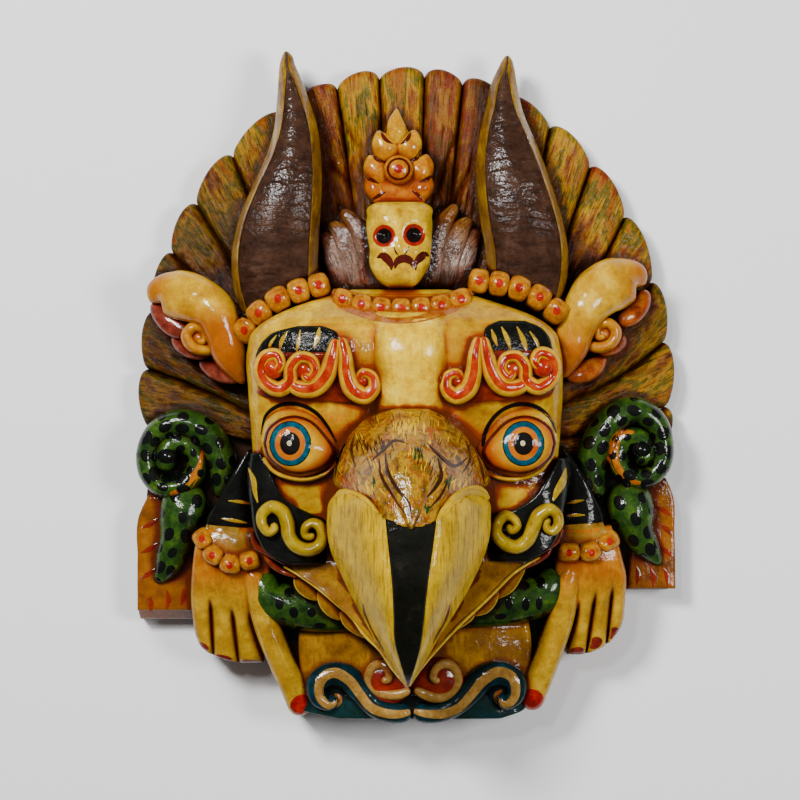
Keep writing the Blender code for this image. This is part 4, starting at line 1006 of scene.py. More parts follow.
GAPE_LOBES = {
    "left": [
        [
            (-61.5, -105, 59, 1.5, 2), (-59, -110.5, 58, 4.0, 3), (-54, -115.5, 58, 4.0, 3),
            (-49, -120, 59, 1.0, 2),
        ],
        [
            (-48.5, -114, 62, 1.5, 2), (-45.5, -120, 61, 4.0, 3), (-41, -126, 61, 3.8, 3),
            (-36.5, -130.5, 62, 1.0, 2),
        ],
        [
            (-36.5, -125, 67, 1.2, 2), (-33, -130.5, 66, 3.2, 3), (-28, -135.5, 66, 2.8, 3),
            (-22.5, -140, 68, 0.8, 2),
        ],
    ],
    "right": [
        [
            (65.5, -101.5, 59, 1.5, 2), (60, -107, 58, 4.0, 3), (56, -112.5, 58, 4.0, 3),
            (49.5, -119, 59, 1.0, 2),
        ],
        [
            (50.5, -114, 62, 1.5, 2), (46.5, -119.5, 61, 4.0, 3), (42.5, -124, 61, 3.8, 3),
            (37, -128, 62, 1.0, 2),
        ],
        [
            (38, -125.5, 67, 1.2, 2), (34, -128.5, 66, 3.0, 3), (31, -131.5, 66, 2.4, 3),
            (27.5, -135, 68, 0.8, 2),
        ],
    ],
}
WHISKERS = {
    "left": [
        [
            (-86, -81.5, 66, 0.8, 2), (-83.5, -89, 64, 1.8, 3), (-76, -93.5, 64, 2.0, 3),
            (-67.5, -98.5, 64, 1.8, 3), (-59, -104.5, 64, 0.6, 2),
        ],
        [
            (-83.5, -76.5, 62, 0.8, 2), (-80.5, -86.5, 62, 1.6, 3), (-73.5, -90.5, 62, 1.8, 3),
            (-66, -94.5, 63, 1.6, 3), (-59, -98.5, 64, 0.6, 2),
        ],
        [
            (-80.5, -91, 60, 0.8, 2), (-77, -97.5, 60, 1.6, 3), (-71.5, -102.5, 60, 1.8, 3),
            (-66, -105, 61, 1.4, 3), (-61, -107, 62, 0.6, 2),
        ],
    ],
    "right": [
        [
            (86, -79.5, 66, 0.8, 2), (83, -86.5, 64, 1.8, 3), (76.5, -91, 64, 2.0, 3),
            (70, -95, 64, 1.8, 3), (63, -101.5, 64, 0.6, 2),
        ],
        [
            (83, -74, 62, 0.8, 2), (80, -84, 62, 1.6, 3), (74, -88.5, 62, 1.8, 3),
            (67.5, -92.5, 63, 1.6, 3), (59.5, -96, 64, 0.6, 2),
        ],
        [
            (81.5, -88.5, 60, 0.8, 2), (78, -94, 60, 1.6, 3), (73, -97.5, 60, 1.8, 3),
            (68.5, -100, 61, 1.4, 3), (64, -102.5, 62, 0.6, 2),
        ],
    ],
}
# Pale gold for the lips and the lobes' edges; on the lips it is a painted highlight, the light caught by the
# gape's crisp edge.
lip_gold_and_highlight = painted("lip_gold_and_highlight", [(0.3, "#a07808"), (0.6, "#c8a518")], glaze_and_shade="#5a2c04", mottle=6)
for side in ("left", "right"):
    rib(f"gape_lip_{side}", GAPE_LIPS[side], 90, [lip_gold_and_highlight], root=50, arc=9)
    for i, (lobe, whisker) in enumerate(zip(GAPE_LOBES[side], WHISKERS[side])):
        rib(f"gape_lobe_{side}_{i}", lobe, 40, [gape_yellow, lip_gold_and_highlight], root=30, trim=0.8)
        rib(f"whisker_{side}_{i}", whisker, 50, [whisker_red], root=30, arc=11)


# Brows. A scroll of three curling bands over each eye, red with yellow edges, under a pad of black hair.
# The bands curl round three knobs on a dark red bed, and a few gold strokes are laid over the hair.
brow_red = painted("brow_red", ["#700800", "#a02000", "#b85004"], glaze_and_shade="#4a0c04", mottle=7)
brow_yellow = painted("brow_yellow", ["#a46a00", "#c49000", "#e4b808"], glaze_and_shade="#6a2406", mottle=8)
hair_black = painted(
    "hair_black", [(0.35, "#060605"), (0.6, "#0e100c"), (0.75, "#1e2018")], glaze_and_shade="#040404", mottle=8,
    specks=0.1, lumps=0.4, dents=2.2, coat=0.25,
)
gold = painted("gold_stroke", ["#7a5604", "#a0800c", "#bca328"], glaze_and_shade="#4a2a06", mottle=3)
BROW_BANDS = {
    "left": [
        [
            (-71.5, 6.5, 95, 2.6, 4), (-68.5, 11, 95, 3.0, 5), (-71, 16, 94, 3.6, 5),
            (-76.5, 15, 93, 4.0, 5), (-79.5, 8.5, 91, 4.2, 5), (-76.5, 1, 91, 4.4, 5),
            (-69.5, -2.5, 92, 4.4, 5), (-63.5, 1.5, 93, 4.2, 5), (-63, 9, 95, 3.8, 5),
            (-58, 14.5, 96, 3.6, 5), (-51.5, 13, 96, 3.4, 5), (-49.5, 7.5, 96, 3.2, 5),
            (-53.5, 3, 95, 3, 5), (-56.5, 6.5, 95, 2.4, 4),
        ],
        [
            (-64.5, 1.5, 93, 3.4, 4), (-58.5, -2, 93, 4.8, 5), (-50, -1.5, 95, 5.2, 5),
            (-44, 4.5, 96, 5.2, 6), (-40.5, 14.5, 97, 4.4, 6), (-38.5, 25, 97, 2.4, 5),
        ],
        [
            (-35.5, 25.5, 97, 2.6, 5), (-33.5, 16.5, 98, 3.8, 6), (-32.5, 5.5, 97, 4.8, 6),
            (-29, -3, 96, 5.2, 6), (-22.5, -6, 96, 4.8, 5), (-18, -2, 96, 3.8, 5), (-19, 4.5, 96, 3.2, 5),
            (-24, 6, 96, 2.8, 5), (-26, 2.5, 95, 2.6, 4), (-23.5, 0, 95, 2.2, 4),
        ],
    ],
    "right": [
        [
            (72.5, 8.5, 94, 2.6, 4), (69.5, 12.5, 94, 3.0, 5), (72.5, 17, 93, 3.6, 5),
            (77.5, 15.5, 92, 4.0, 5), (80.5, 9, 90, 4.2, 5), (77.5, 2, 90, 4.4, 5), (71, -1.5, 92, 4.4, 5),
            (65, 2.5, 93, 4.2, 5), (64, 10, 95, 3.8, 5), (59.5, 15, 96, 3.6, 5), (53.5, 14, 96, 3.4, 5),
            (51.5, 8.5, 96, 3.2, 5), (55.5, 4, 95, 3, 5), (58.5, 8, 95, 2.4, 4),
        ],
        [
            (66, 2.5, 93, 3.4, 4), (60.5, -1, 93, 4.8, 5), (52.5, -1, 95, 5.2, 5), (47, 5, 96, 5.2, 6),
            (43.5, 15, 97, 4.4, 6), (41.5, 26, 97, 2.4, 5),
        ],
        [
            (39, 26, 97, 2.6, 5), (37, 16.5, 98, 3.8, 6), (36, 5.5, 97, 4.8, 6), (32.5, -3, 96, 5.2, 6),
            (26, -6, 96, 4.8, 5), (21.5, -2, 96, 3.8, 5), (22.5, 4.5, 96, 3.2, 5), (27.5, 6, 96, 2.8, 5),
            (29.5, 2.5, 95, 2.6, 4), (26.5, 0, 95, 2.2, 4),
        ],
    ],
}
BROW_BEDS = {
    "left": [
        (17.5, -78.5, -44), (12, -81.5, -41.5), (5.5, -82, -18), (-1, -80.5, -15.5), (-6.5, -74.5, -18),
        (-10, -31, -21),
    ],
    "right": [
        (18.5, 47.5, 79.5), (13, 43, 80.5), (6, 20, 81), (-1, 18.5, 79), (-6.5, 21.5, 71.5),
        (-10, 23.5, 34.5),
    ],
}
# Each knob is x, y and its radius.
BROW_KNOBS = {
    "left": [(-72.5, 8.5, 5.6), (-55.5, 8, 5.6), (-24.5, 2.5, 5.0)],
    "right": [(74, 9.5, 5.6), (57, 8.5, 5.6), (28, 2.5, 5.0)],
}
brow_bed = painted("brow_bed", [(0.3, "#4c0c02"), (0.6, "#7c2404")], glaze_and_shade="#2c0602", mottle=5)
HAIR_PADS = {
    "left": [
        (32, -59, -46), (29.5, -70, -39.5), (25, -77.5, -37.5), (19.5, -81.5, -39.5), (14.5, -83, -46),
        (11, -82, -58),
    ],
    "right": [
        (35, 50.5, 64.5), (32, 44, 72), (27.5, 42, 77), (21, 43, 79.5), (15.5, 49.5, 80), (12, 61.5, 79.5),
    ],
}
HAIR_STROKES = {
    "left": [
        [(-75.5, 17.5, 0.3), (-74.5, 22, 0.8), (-71, 27, 0.3)],
        [(-69.5, 18.5, 0.3), (-68, 24, 1.2), (-65, 29, 0.3)],
        [(-60, 17.5, 0.3), (-59, 22.5, 1.1), (-58, 29.5, 0.3)],
        [(-50.5, 20, 0.4), (-48.5, 25.5, 1.5), (-47.5, 31, 0.4)],
    ],
    "right": [
        [(49, 21, 0.3), (47.5, 25.5, 1.2), (46, 30, 0.3)],
        [(56.5, 18.5, 0.3), (54.5, 25, 1.3), (51.5, 31.5, 0.3)],
        [(65.5, 16.5, 0.3), (63.5, 24, 1.4), (60, 31.5, 0.3)],
        [(73, 17.5, 0.3), (71, 23, 0.9), (67, 29, 0.3)],
    ],
}
# For each of the three bands, the number of its rows and where its yellow edges start.
BAND_ROWS = (150, 80, 130)
BAND_TRIMS = (0.5, 0.42, 0.5)


def over_head(rise):
    """A top that follows the face at a distance."""
    return lambda x, y: head_height(x, y) + rise


for side in ("left", "right"):
    over_pad = over_head(2.2)
    pad = slab(f"brow_hair_{side}", HAIR_PADS[side], over_pad, 40, 50, [hair_black], root=70, soften=1.6)
    strokes(f"brow_hair_gold_{side}", HAIR_STROKES[side], [pad], gold)
    slab(f"brow_bed_{side}", BROW_BEDS[side], over_head(3.4), 40, 50, [brow_bed], root=70, soften=1.5)
    for i, (x, y, radius) in enumerate(BROW_KNOBS[side]):
        mound(f"brow_eye_{side}_{i}", (x, y), (radius, radius), 94, 4.4, [brow_red], root=70)
    for i, (stations, count, trim) in enumerate(zip(BROW_BANDS[side], BAND_ROWS, BAND_TRIMS)):
        rib(f"brow_{side}_{i}", stations, count, [brow_red, brow_yellow], root=70, trim=trim)


# Eyes. A round eyeball in a raised lid, painted in rings: orange, blue-green, orange and a black pupil.
# A black line follows the upper lid.
lid_cream = painted("lid_cream", ["#98670c", "#b88f10", "#dcc144"], glaze_and_shade="#7c2c04", mottle=8)
red_line = painted("red_line", [(0.3, "#6c0c04"), (0.6, "#9a1c08")], glaze_and_shade="#3a0402", mottle=4)
eye_orange = painted(
    "eye_orange", ["#a03c00", "#ac5a00", "#b87400"], glaze_and_shade="#8a2c04", mottle=10, lumps=0.12, specks=0.1,
    coat=0.35,
)
# Its second, orange-red colours are painted shade towards the rim of the eyeball, next to the lid.
eye_amber = painted(
    "eye_amber", ["#a46b00", "#bc8d08", "#dcb830"], glaze_and_shade="#7a2404", mottle=14, lumps=0.15, specks=0.1,
    deep=1.0, coat=0.45, fade=(["#842400", "#9c3c00", "#ac5600"], "tint", 0.0, 1.0),
)
eye_blue = painted(
    "eye_blue", ["#042834", "#084454", "#105c6c"], glaze_and_shade="#06202c", mottle=4, lumps=0.12, specks=0.1,
    coat=0.35,
)
eye_black = painted(
    "eye_black", [(0.4, "#090808"), (0.7, "#14100e")], glaze_and_shade="#020202", mottle=4, lumps=0.12, specks=0,
    coat=0.35,
)
eye_white = painted(
    "eye_white", [(0.4, "#b0a878"), (0.7, "#d0c898")], glaze_and_shade="#6a5a30", mottle=3, lumps=0.1, specks=0.1,
    coat=0.35,
)
# The outline of the left eyeball. The right one is its mirror image, drawn a little wider.
EYE_RIM = [
    (-77.5, -32.5), (-75.5, -25.5), (-70, -20.5), (-62, -18.3), (-53.5, -20.5), (-46.5, -27),
    (-40.5, -38.5), (-44.5, -44), (-52, -47.5), (-61, -48.5), (-70, -45), (-75.5, -39.5),
]


def dome(name, outline, middle, edge, rise, paints):
    """A dome on any plan that is star-shaped about its middle."""
    loop = smooth([*outline, outline[0]], 120)[:-1]
    size = len(loop)
    levels = [(1.0, 50), (1.0, edge)]
    levels += [(math.cos(c), edge + rise * math.sin(c)) for c in np.linspace(0.06, math.pi / 2 * 0.98, 26)]
    points = [np.column_stack([middle + (loop - middle) * share, np.full(size, z)]) for share, z in levels]
    return carve(name, np.concatenate(points), capped(len(levels), size), paints, sharp=60)


# The black line over each upper lid, and the fold under the left eye.
LID_LINES = {
    "left": [
        (-80.5, -27.6, 0.4), (-77, -16.2, 0.9), (-69.3, -11.2, 1.1), (-60, -10.7, 1.2), (-50.2, -15.1, 1.1),
        (-43.6, -22.7, 0.9), (-38.7, -31.5, 0.4),
    ],
    "right": [
        (41.7, -34.2, 0.9), (42.8, -27.1, 1.1), (46.6, -19.4, 1.1), (53.2, -13.4, 1.1), (62.5, -10.7, 1.2),
        (71.2, -12.3, 1.2), (77.8, -17.2, 1.0), (82.1, -26.5, 0.4),
    ],
}
EYE_FOLD = [(-79, -40), (-73, -47.5), (-63, -51.5), (-52, -51.5), (-43, -47.5), (-37.5, -41)]
# From the eye's edge inwards: each ring's name, paint, half width, half height and lift.
EYE_RINGS = [
    ("edge", eye_black, 11.9, 12.9, 0.06), ("blue", eye_blue, 11.2, 12.2, 0.12),
    ("ring", eye_orange, 8.5, 9.4, 0.2), ("pupil", eye_black, 5.7, 6.5, 0.28),
]
for side, word, wider, shift in ((-1, "left", 1, 0), (1, "right", 1.03, 0.8)):
    rim = np.array([(-x * side * wider + shift, y + 0.4) for x, y in EYE_RIM])
    middle = rim.mean(axis=0)

    # The eyeball's paint turns orange-red towards its rim: painted shade next to the lid.
    def eyeball_rim_shade(x, y):
        away = math.hypot((x - middle[0]) / 18.5, (y - middle[1] - 1) / 15)
        return np.clip((away - 0.6) / 0.4, 0, 1)

    lid_rim = middle + (rim - middle) * (1.17, 1.3) + (0, 1.4)
    lid = dome(f"eyelid_{word}", lid_rim, middle, 77, 11, [lid_cream])
    dome(f"eye_line_red_{word}", middle + (rim - middle) * 1.07, middle, 84.5, 5.6, [maroon])
    ball = dome(f"eyeball_{word}", rim, middle, 85, 7.4, [eye_amber])
    tint(ball, eyeball_rim_shade)
    iris = (63.6 * side, -32.2)
    for ring, paint, wide, tall, lift in EYE_RINGS:
        spots(f"eye_{ring}_{word}", [(*iris, wide, tall, 0)], [ball], paint, lift=lift)
    spots(f"eye_dot_{word}", [(iris[0] - 0.4, iris[1] + 0.2, 1.6, 1.8, 0)], [ball], eye_white, lift=0.36)
    strokes(f"eye_line_{word}", [LID_LINES[word]], [head, lid], eye_black, lift=0.3)
    rib(f"eye_fold_{word}", [(-x * side, y, 78, 1.3, 3.4) for x, y in EYE_FOLD], 60, [lid_cream], root=50)


# Cheeks. An S-shaped curl on a black pad at each side of the beak, and a gold leaf stroke beside it.
# The curls are yellow ochre, and the black of the pads is smooth and shiny.


def crowned(edge, rise, half, power, middle=0, bend=1):
    """A top that rises from both sides towards a line along y."""
    return lambda x, y: edge + rise * np.clip(1 - np.abs((x - middle) / half) ** power, 0, 1) ** bend


scroll_yellow = painted("scroll_yellow", ["#7c5800", "#9c8000", "#b89e0c"], glaze_and_shade="#4a2806", mottle=8)
smooth_black = painted(
    "smooth_black", [(0.35, "#060605"), (0.6, "#0e100c"), (0.75, "#1e2018")], glaze_and_shade="#040404", mottle=8,
    specks=0.1, coat=0.35, lumps=0.17,
)
CHEEK_PADS = {
    "left": [
        (-37.5, -86, -80.5), (-46, -88, -75.5), (-55.5, -88, -71.5), (-62.5, -87, -67.5),
        (-66.5, -86.5, -62), (-70.5, -86, -54), (-74.5, -85.5, -44.5), (-85.5, -82, -41.5),
        (-94, -75, -40.5), (-99, -64, -42),
    ],
    "right": [
        (-40.5, 84, 89), (-48.5, 79, 90), (-56, 74, 90), (-62.5, 69, 88.5), (-66.5, 63.5, 87.5),
        (-71, 54.5, 86.5), (-75, 45.5, 85), (-84.5, 44, 83), (-92, 43.5, 76.5), (-97.5, 47, 66.5),
    ],
}
CHEEK_CURLS = {
    "left": [
        (-74.5, -76.5, 81, 2.0, 4), (-72.5, -78.5, 81, 2.4, 4), (-75.5, -81, 81, 2.6, 5),
        (-79, -77.5, 81, 2.8, 5), (-79.5, -71.5, 81, 3.1, 5), (-74, -67, 82, 3.5, 6),
        (-68.5, -69.5, 82, 3.8, 6), (-65.5, -76, 82, 3.9, 6), (-64.5, -83, 82, 3.9, 6),
        (-60.5, -88.5, 82, 3.9, 6), (-54.5, -90.5, 82, 3.8, 6), (-48.5, -88.5, 82, 3.6, 6),
        (-46, -83, 82, 3.3, 6), (-48, -77.5, 82, 3.0, 5), (-52, -76, 81, 2.7, 5),
        (-55.5, -78.5, 81, 2.5, 5), (-55.5, -82.5, 81, 2.3, 4), (-52.5, -83.5, 81, 2.2, 4),
        (-51, -81.5, 81, 1.9, 4),
    ],
    "right": [
        (55.5, -76.5, 81, 1.9, 4), (57.5, -80, 81, 2.3, 4), (60.5, -77.5, 81, 2.4, 5),
        (59, -74, 81, 2.6, 5), (54.5, -72, 81, 2.8, 5), (50.5, -75, 81, 3.1, 5), (49, -81, 82, 3.4, 6),
        (53, -86.5, 82, 3.7, 6), (60, -89, 82, 3.9, 6), (66, -85.5, 82, 3.9, 6), (69.5, -78, 82, 3.9, 6),
        (72.5, -71.5, 82, 3.8, 6), (78.5, -68.5, 82, 3.5, 6), (82.5, -71.5, 81, 3.1, 5),
        (83, -77, 81, 2.8, 5), (79.5, -80.5, 81, 2.6, 5), (76.5, -78, 81, 2.3, 4), (77, -75, 81, 2.1, 4),
        (79, -75.5, 81, 1.8, 4),
    ],
}
CHEEK_LEAVES = {
    "left": [(-87.5, -46, 0.4), (-84.5, -52.5, 1.5), (-83.5, -59.5, 1.2), (-82, -65, 0.3)],
    "right": [(88, -46, 0.4), (86.5, -52.5, 2.2), (82.5, -59.5, 1.8), (80.5, -64, 0.4)],
}
for side, middle in (("left", -66), ("right", 66)):
    pad_height = crowned(64, 15, 24, 3, middle, 0.6)
    pad = slab(f"cheek_pad_{side}", CHEEK_PADS[side], pad_height, 50, 40, [smooth_black])
    rib(f"cheek_scroll_{side}", CHEEK_CURLS[side], 200, [scroll_yellow], root=50)
    strokes(f"cheek_leaf_{side}", [CHEEK_LEAVES[side]], [pad], gold)


# Skull and finial. A small skull over the brow, and on it a flame of seven leaves round a disc.
# The skull is yellow, with red-ringed black sockets and dark red curls at the mouth, and the leaves are
# orange gold.
skull_yellow = painted(
    "skull_yellow", ["#986600", "#c49c00", "#f4cc30"], glaze_and_shade="#5a2606", mottle=9, deep=1.0,
)


def dab(x, y, at_x, at_y, spread):
    """A round soft bump of height 1."""
    return np.exp(-((x - at_x) ** 2 + (y - at_y) ** 2) / spread)


def skull_height(x, y):
    """A round brow over two sockets, with cheeks, a nose and a jaw."""
    full = np.clip(1 - np.abs((x + 4) / 20) ** 2.6, 0, 1) * np.clip(1 - np.abs((y - 78) / 26) ** 4, 0, 1)
    holes = dab(x, y, -12.5, 83, 16) + dab(x, y, 4, 83.5, 16)
    cheeks = dab(x, y, -13, 73, 14) + dab(x, y, 5, 73, 14)
    nose = np.exp(-((x + 4) ** 2 / 5 + (y - 75) ** 2 / 14))
    jaw = np.exp(-((x + 4) ** 2 / 60 + (y - 60) ** 2 / 10))
    return 56 + 19 * full**0.45 - 4.5 * holes + 1.2 * cheeks + 1.5 * nose + 1.2 * jaw


rows = [
    (101.5, -16, 8.5), (100, -19.5, 12), (93, -22, 14), (83, -22, 14), (74.5, -20.5, 13.5),
    (66.5, -20.5, 12.5), (60.5, -17.5, 9), (56, -13.5, 5.5), (53.5, -10, 2.5),
]
skull = slab("skull", rows, skull_height, 90, 70, [skull_yellow], soften=4)
eyes_at = [(-12.5, 82), (4, 82.5)]
spots("skull_red_rings", [(x, y, 6.2, 6.2, 0) for x, y in eyes_at], [skull], red_line)
spots("skull_sockets", [(x, y, 4.3, 4.3, 0) for x, y in eyes_at], [skull], eye_black, lift=0.25)
strokes("skull_mouth_and_nose_shade", [
    [(-16.5, 70, 0.3), (-13.5, 71, 2.0), (-10.5, 69, 2.3), (-8.5, 65, 1.2), (-8.5, 63, 0.3)],
    [(-6.5, 64, 0.4), (-5.5, 67.5, 1.8), (-1.5, 69.5, 2.3), (2.5, 67.5, 1.8), (3.5, 64.5, 0.4)],
    [(5, 63, 0.3), (5, 66.5, 1.2), (7.5, 70, 2.2), (10.5, 72, 1.7), (12.5, 71, 0.3)],
    # The two short strokes beside the nose are painted shade.
    [(-7, 76, 0.2), (-6, 73, 0.5), (-4.5, 71, 0.2)],
    [(1.5, 76.5, 0.2), (0, 73.5, 0.5), (-1.5, 71, 0.2)],
], [skull], maroon)
petal_orange = painted(
    "petal_orange", ["#742400", "#9a4800", "#b47000"], glaze_and_shade="#5a1c04", mottle=7,
    fade=(["#965c00", "#bc8400", "#e0ac10"], "Y", 114, 142),
)
rows = [
    (147, -8.5, -2.5), (138.5, -12.5, 2.5), (130.5, -16, 6), (122, -20.5, 10), (111, -21, 11.5),
    (100.5, -18, 10),
]


def flat(level):
    return lambda x, y: level + 0 * x


flame = slab("finial_body", rows, flat(59), 60, 40, [petal_orange], soften=4)
PETALS = [
    [(-9.5, 104, 53, 5, 4), (-15.5, 107.5, 54, 5.8, 6), (-20, 112, 54, 4.8, 5), (-22.5, 115.5, 54, 1.5, 3)],
    [(2, 104, 53, 5, 4), (7.5, 108.5, 54, 5.8, 6), (11.5, 113, 54, 4.4, 5), (13, 116.5, 54, 1.5, 3)],
    [(-10, 112, 55, 5, 4), (-15, 118, 56, 7.2, 6), (-19, 123.5, 56, 5.8, 5), (-21, 128, 56, 1.6, 3)],
    [(2.5, 113, 55, 5, 4), (6.5, 118.5, 56, 7.2, 6), (10, 124, 56, 5.8, 5), (11.5, 128.5, 56, 1.6, 3)],
    [(-7.5, 124, 57, 5, 4), (-11, 130.5, 58, 7.2, 6), (-14.5, 137, 58, 5.2, 5), (-16, 141.5, 58, 1.4, 3)],
    [(-2, 124.5, 57, 5, 4), (1, 131.5, 58, 7.2, 6), (3.5, 137.5, 58, 5.2, 5), (4.5, 142, 58, 1.4, 3)],
    [
        (-5.5, 133, 59, 3.5, 4), (-5.5, 140.5, 60, 5.6, 6), (-6, 146.5, 60, 4.4, 5),
        (-5.5, 153.5, 60, 0.6, 3),
    ],
]
leaves = [rib(f"finial_petal_{i}", petal, 50, [petal_orange]) for i, petal in enumerate(PETALS)]
strokes("finial_lines", [
    [(-24.5, 116.5, 0.3), (-20.5, 114.5, 1.1), (-15.5, 112, 0.3)],
    [(-19.5, 130, 0.3), (-16.5, 125.5, 1.2), (-11.5, 123.5, 0.3)],
    [(-14.5, 141.5, 0.3), (-12, 136.5, 1.2), (-7.5, 133.5, 0.3)],
    [(2.5, 141.5, 0.3), (0.5, 136.5, 1.2), (-3.5, 133.5, 0.3)],
    [(8, 131, 0.3), (5.5, 126, 1.2), (1.5, 124.5, 0.3)],
    [(14.5, 117, 0.3), (11.5, 114.5, 1.1), (6.5, 112.5, 0.3)],
    [(-20, 102.5, 0.3), (-16, 105, 1.0), (-11.5, 107.5, 0.3)],
    [(8.5, 102.5, 0.3), (6.5, 105.5, 1.0), (3, 108, 0.3)],
], [flame, *leaves], maroon)
disc_at = (-4.5, 119.5)
disc = mound("finial_disc", disc_at, (8.2, 8), 63, 4.4, [petal_orange])
DISC_RINGS = [
    ("ring", maroon, 6.6, 6.4, 0.15), ("heart", petal_orange, 5.4, 5.2, 0.25),
    ("dot", red_line, 2.6, 2.6, 0.35),
]
for part, paint, wide, tall, lift in DISC_RINGS:
    spots(f"finial_disc_{part}", [(*disc_at, wide, tall, 0)], [disc], paint, lift=lift)


# Beads. Strings of barrel beads round the foot of each horn and over the brow, each with a red dot.
# They are rolled out of the block with the gouge, orange yellow, with brown toner and painted shade in the
# cuts between them.
bead_paint = painted("bead_orange", ["#743800", "#a46200", "#c48c04"], glaze_and_shade="#5a1c04", mottle=5, deep=1.0)
bead_red = painted("bead_red", [(0.3, "#7c0c04"), (0.6, "#a8200c")], glaze_and_shade="#3a0402", mottle=4, coat=0.3)


def beads(name, places, root, dot=2.1, half=5.9, rise=5.6):
    """A string of barrel beads. A place is the middle of a bead and the level of the string there."""
    places = np.array(places, float)
    steps = np.diff(places, axis=0)
    ahead, behind = np.concatenate([steps, steps[-1:]]), np.concatenate([steps[:1], steps])
    points, flow, arc = [], [], np.linspace(0, math.pi, 13)
    for place, back, forth in zip(places, behind, ahead):
        for t in np.linspace(-0.5, 0.5, 13):
            x, y, edge = place + (forth * t if t > 0 else back * t)
            dx, dy = forth[:2] if t > 0 else back[:2]
            size = math.hypot(dx, dy)
            full = (1 - abs(2 * t) ** 3.2) ** 0.5 * 0.6 + 0.4
            for a, z in zip([1, *np.cos(arc), -1], [root, *(edge + rise * full * np.sin(arc)), root]):
                points.append((x - dy / size * half * full * a, y + dx / size * half * full * a, z))
                flow.append((a * 5, t * 10, 0))
    ring = len(arc) + 2
    string = carve(name, points, capped(len(points) // ring, ring), [bead_paint], grain=flow, sharp=60)
    spots(name + "_dots", [(x, y, dot, dot * 1.2, 0) for x, y, z in places], [string], bead_red)


HORN_BEADS = {
    "left": [(-48.5, 55, 68), (-59.5, 52, 69), (-71, 47.5, 69), (-82, 39.5, 66), (-90, 30, 61)],
    "right": [(40, 57.5, 68), (51, 56, 69), (62, 53.5, 69), (73.5, 48.5, 67), (83, 41, 63)],
}
for side, places in HORN_BEADS.items():
    beads(f"beads_{side}", places, 20, half=6.8)
band = painted("band_orange", ["#702c04", "#984e04", "#b47c04"], glaze_and_shade="#4a1404", mottle=7, lumps=0.17)
BAND_PATH = [
    (-42, 51.5, 2.0), (-34, 47, 5.5), (-23, 43, 6.5), (-3, 40, 7.0), (16.5, 43, 6.5), (27.5, 47, 5.5),
    (36, 51.5, 2.0),
]
strokes("beads_middle_band", [BAND_PATH], [head], band, lift=0.3)
MIDDLE_BEADS = [
    (-35.5, 47, 76), (-25, 44, 79), (-14, 42, 81), (-3, 41.5, 81), (8, 42, 81), (19, 43.5, 79),
    (30, 47, 76),
]
beads("beads_middle", MIDDLE_BEADS, 50, rise=4)


# Serpents. One coils up at each side of the head, its tail hanging over the wing, and one runs behind
# the beak. They are green, with large black spots and a little orange where the body turns under.
snake_green = painted(
    "snake_green", [(0.3, "#0c1c07"), (0.45, "#1c360c"), (0.6, "#325012"), (0.74, "#5c7618")],
    glaze_and_shade="#0a1808", mottle=9, streak=(2, 5, 2), streak_ink="#12280f", streak_share=0.4,
)
spot_black = painted(
    "spot_black", [(0.35, "#040604"), (0.7, "#0c100c")], glaze_and_shade="#030403", mottle=4, specks=0,
)
COILS = {
    "left": [
        (-104.5, -65, 30, 5, 8), (-103.5, -52.5, 30, 7.5, 10), (-106.5, -38, 30, 8.5, 11),
        (-115, -25.5, 30, 8, 11), (-128.5, -21, 30, 7.5, 10), (-141, -26, 30, 6.5, 9),
        (-147, -37, 29, 6, 9), (-146, -49.5, 29, 6, 9), (-137.5, -58, 29, 6, 9), (-126.5, -56.5, 29, 6, 9),
        (-118.5, -46.5, 28, 6.5, 9), (-123, -34.5, 28, 6.5, 9), (-133, -33.5, 28, 6.5, 9),
        (-137, -42.5, 29, 6.5, 9), (-130.5, -44, 30, 5, 9),
    ],
    "right": [
        (108.5, -65, 30, 5, 8), (104.5, -50.5, 30, 8.5, 10), (107.5, -33.5, 30, 9, 11),
        (116, -20.5, 30, 8.5, 11), (129, -14.5, 30, 8, 10), (140.5, -20.5, 30, 7, 9),
        (145.5, -32.5, 29, 6, 9), (144, -45, 29, 6, 9), (135.5, -53, 29, 6, 9), (125, -50.5, 29, 6, 9),
        (119.5, -40.5, 28, 6.5, 9), (125, -29.5, 28, 6.5, 9), (134.5, -32, 28, 6, 9),
        (134.5, -40.5, 29, 6, 9), (129, -41, 30, 5, 9),
    ],
}
TAILS = {
    "left": [
        (-123, -54, 26, 11, 9), (-125.5, -65.5, 27, 13, 11), (-127.5, -75.5, 27, 13, 12),
        (-130.5, -88, 26, 10, 10), (-135.5, -101.5, 24, 8, 8), (-142.5, -113, 20, 2.5, 5),
    ],
    "right": [
        (123.5, -54, 26, 11, 9), (126, -64, 27, 13, 11), (128, -74, 27, 13, 12),
        (131.5, -84.5, 26, 9.5, 10), (138.5, -94.5, 24, 6.5, 8), (145, -102.5, 20, 2, 5),
    ],
}
BEHIND_BEAK = [
    (-82.5, -104, 42, 8, 10), (-78, -119, 42, 11, 12), (-60, -125, 42, 12.5, 13), (-32, -127.5, 40, 12, 12),
    (-1, -127.5, 38, 12, 12), (30, -125.5, 40, 12, 12), (61, -121.5, 42, 12.5, 13),
    (78.5, -116.5, 42, 11, 12), (84, -103, 42, 8, 10),
]


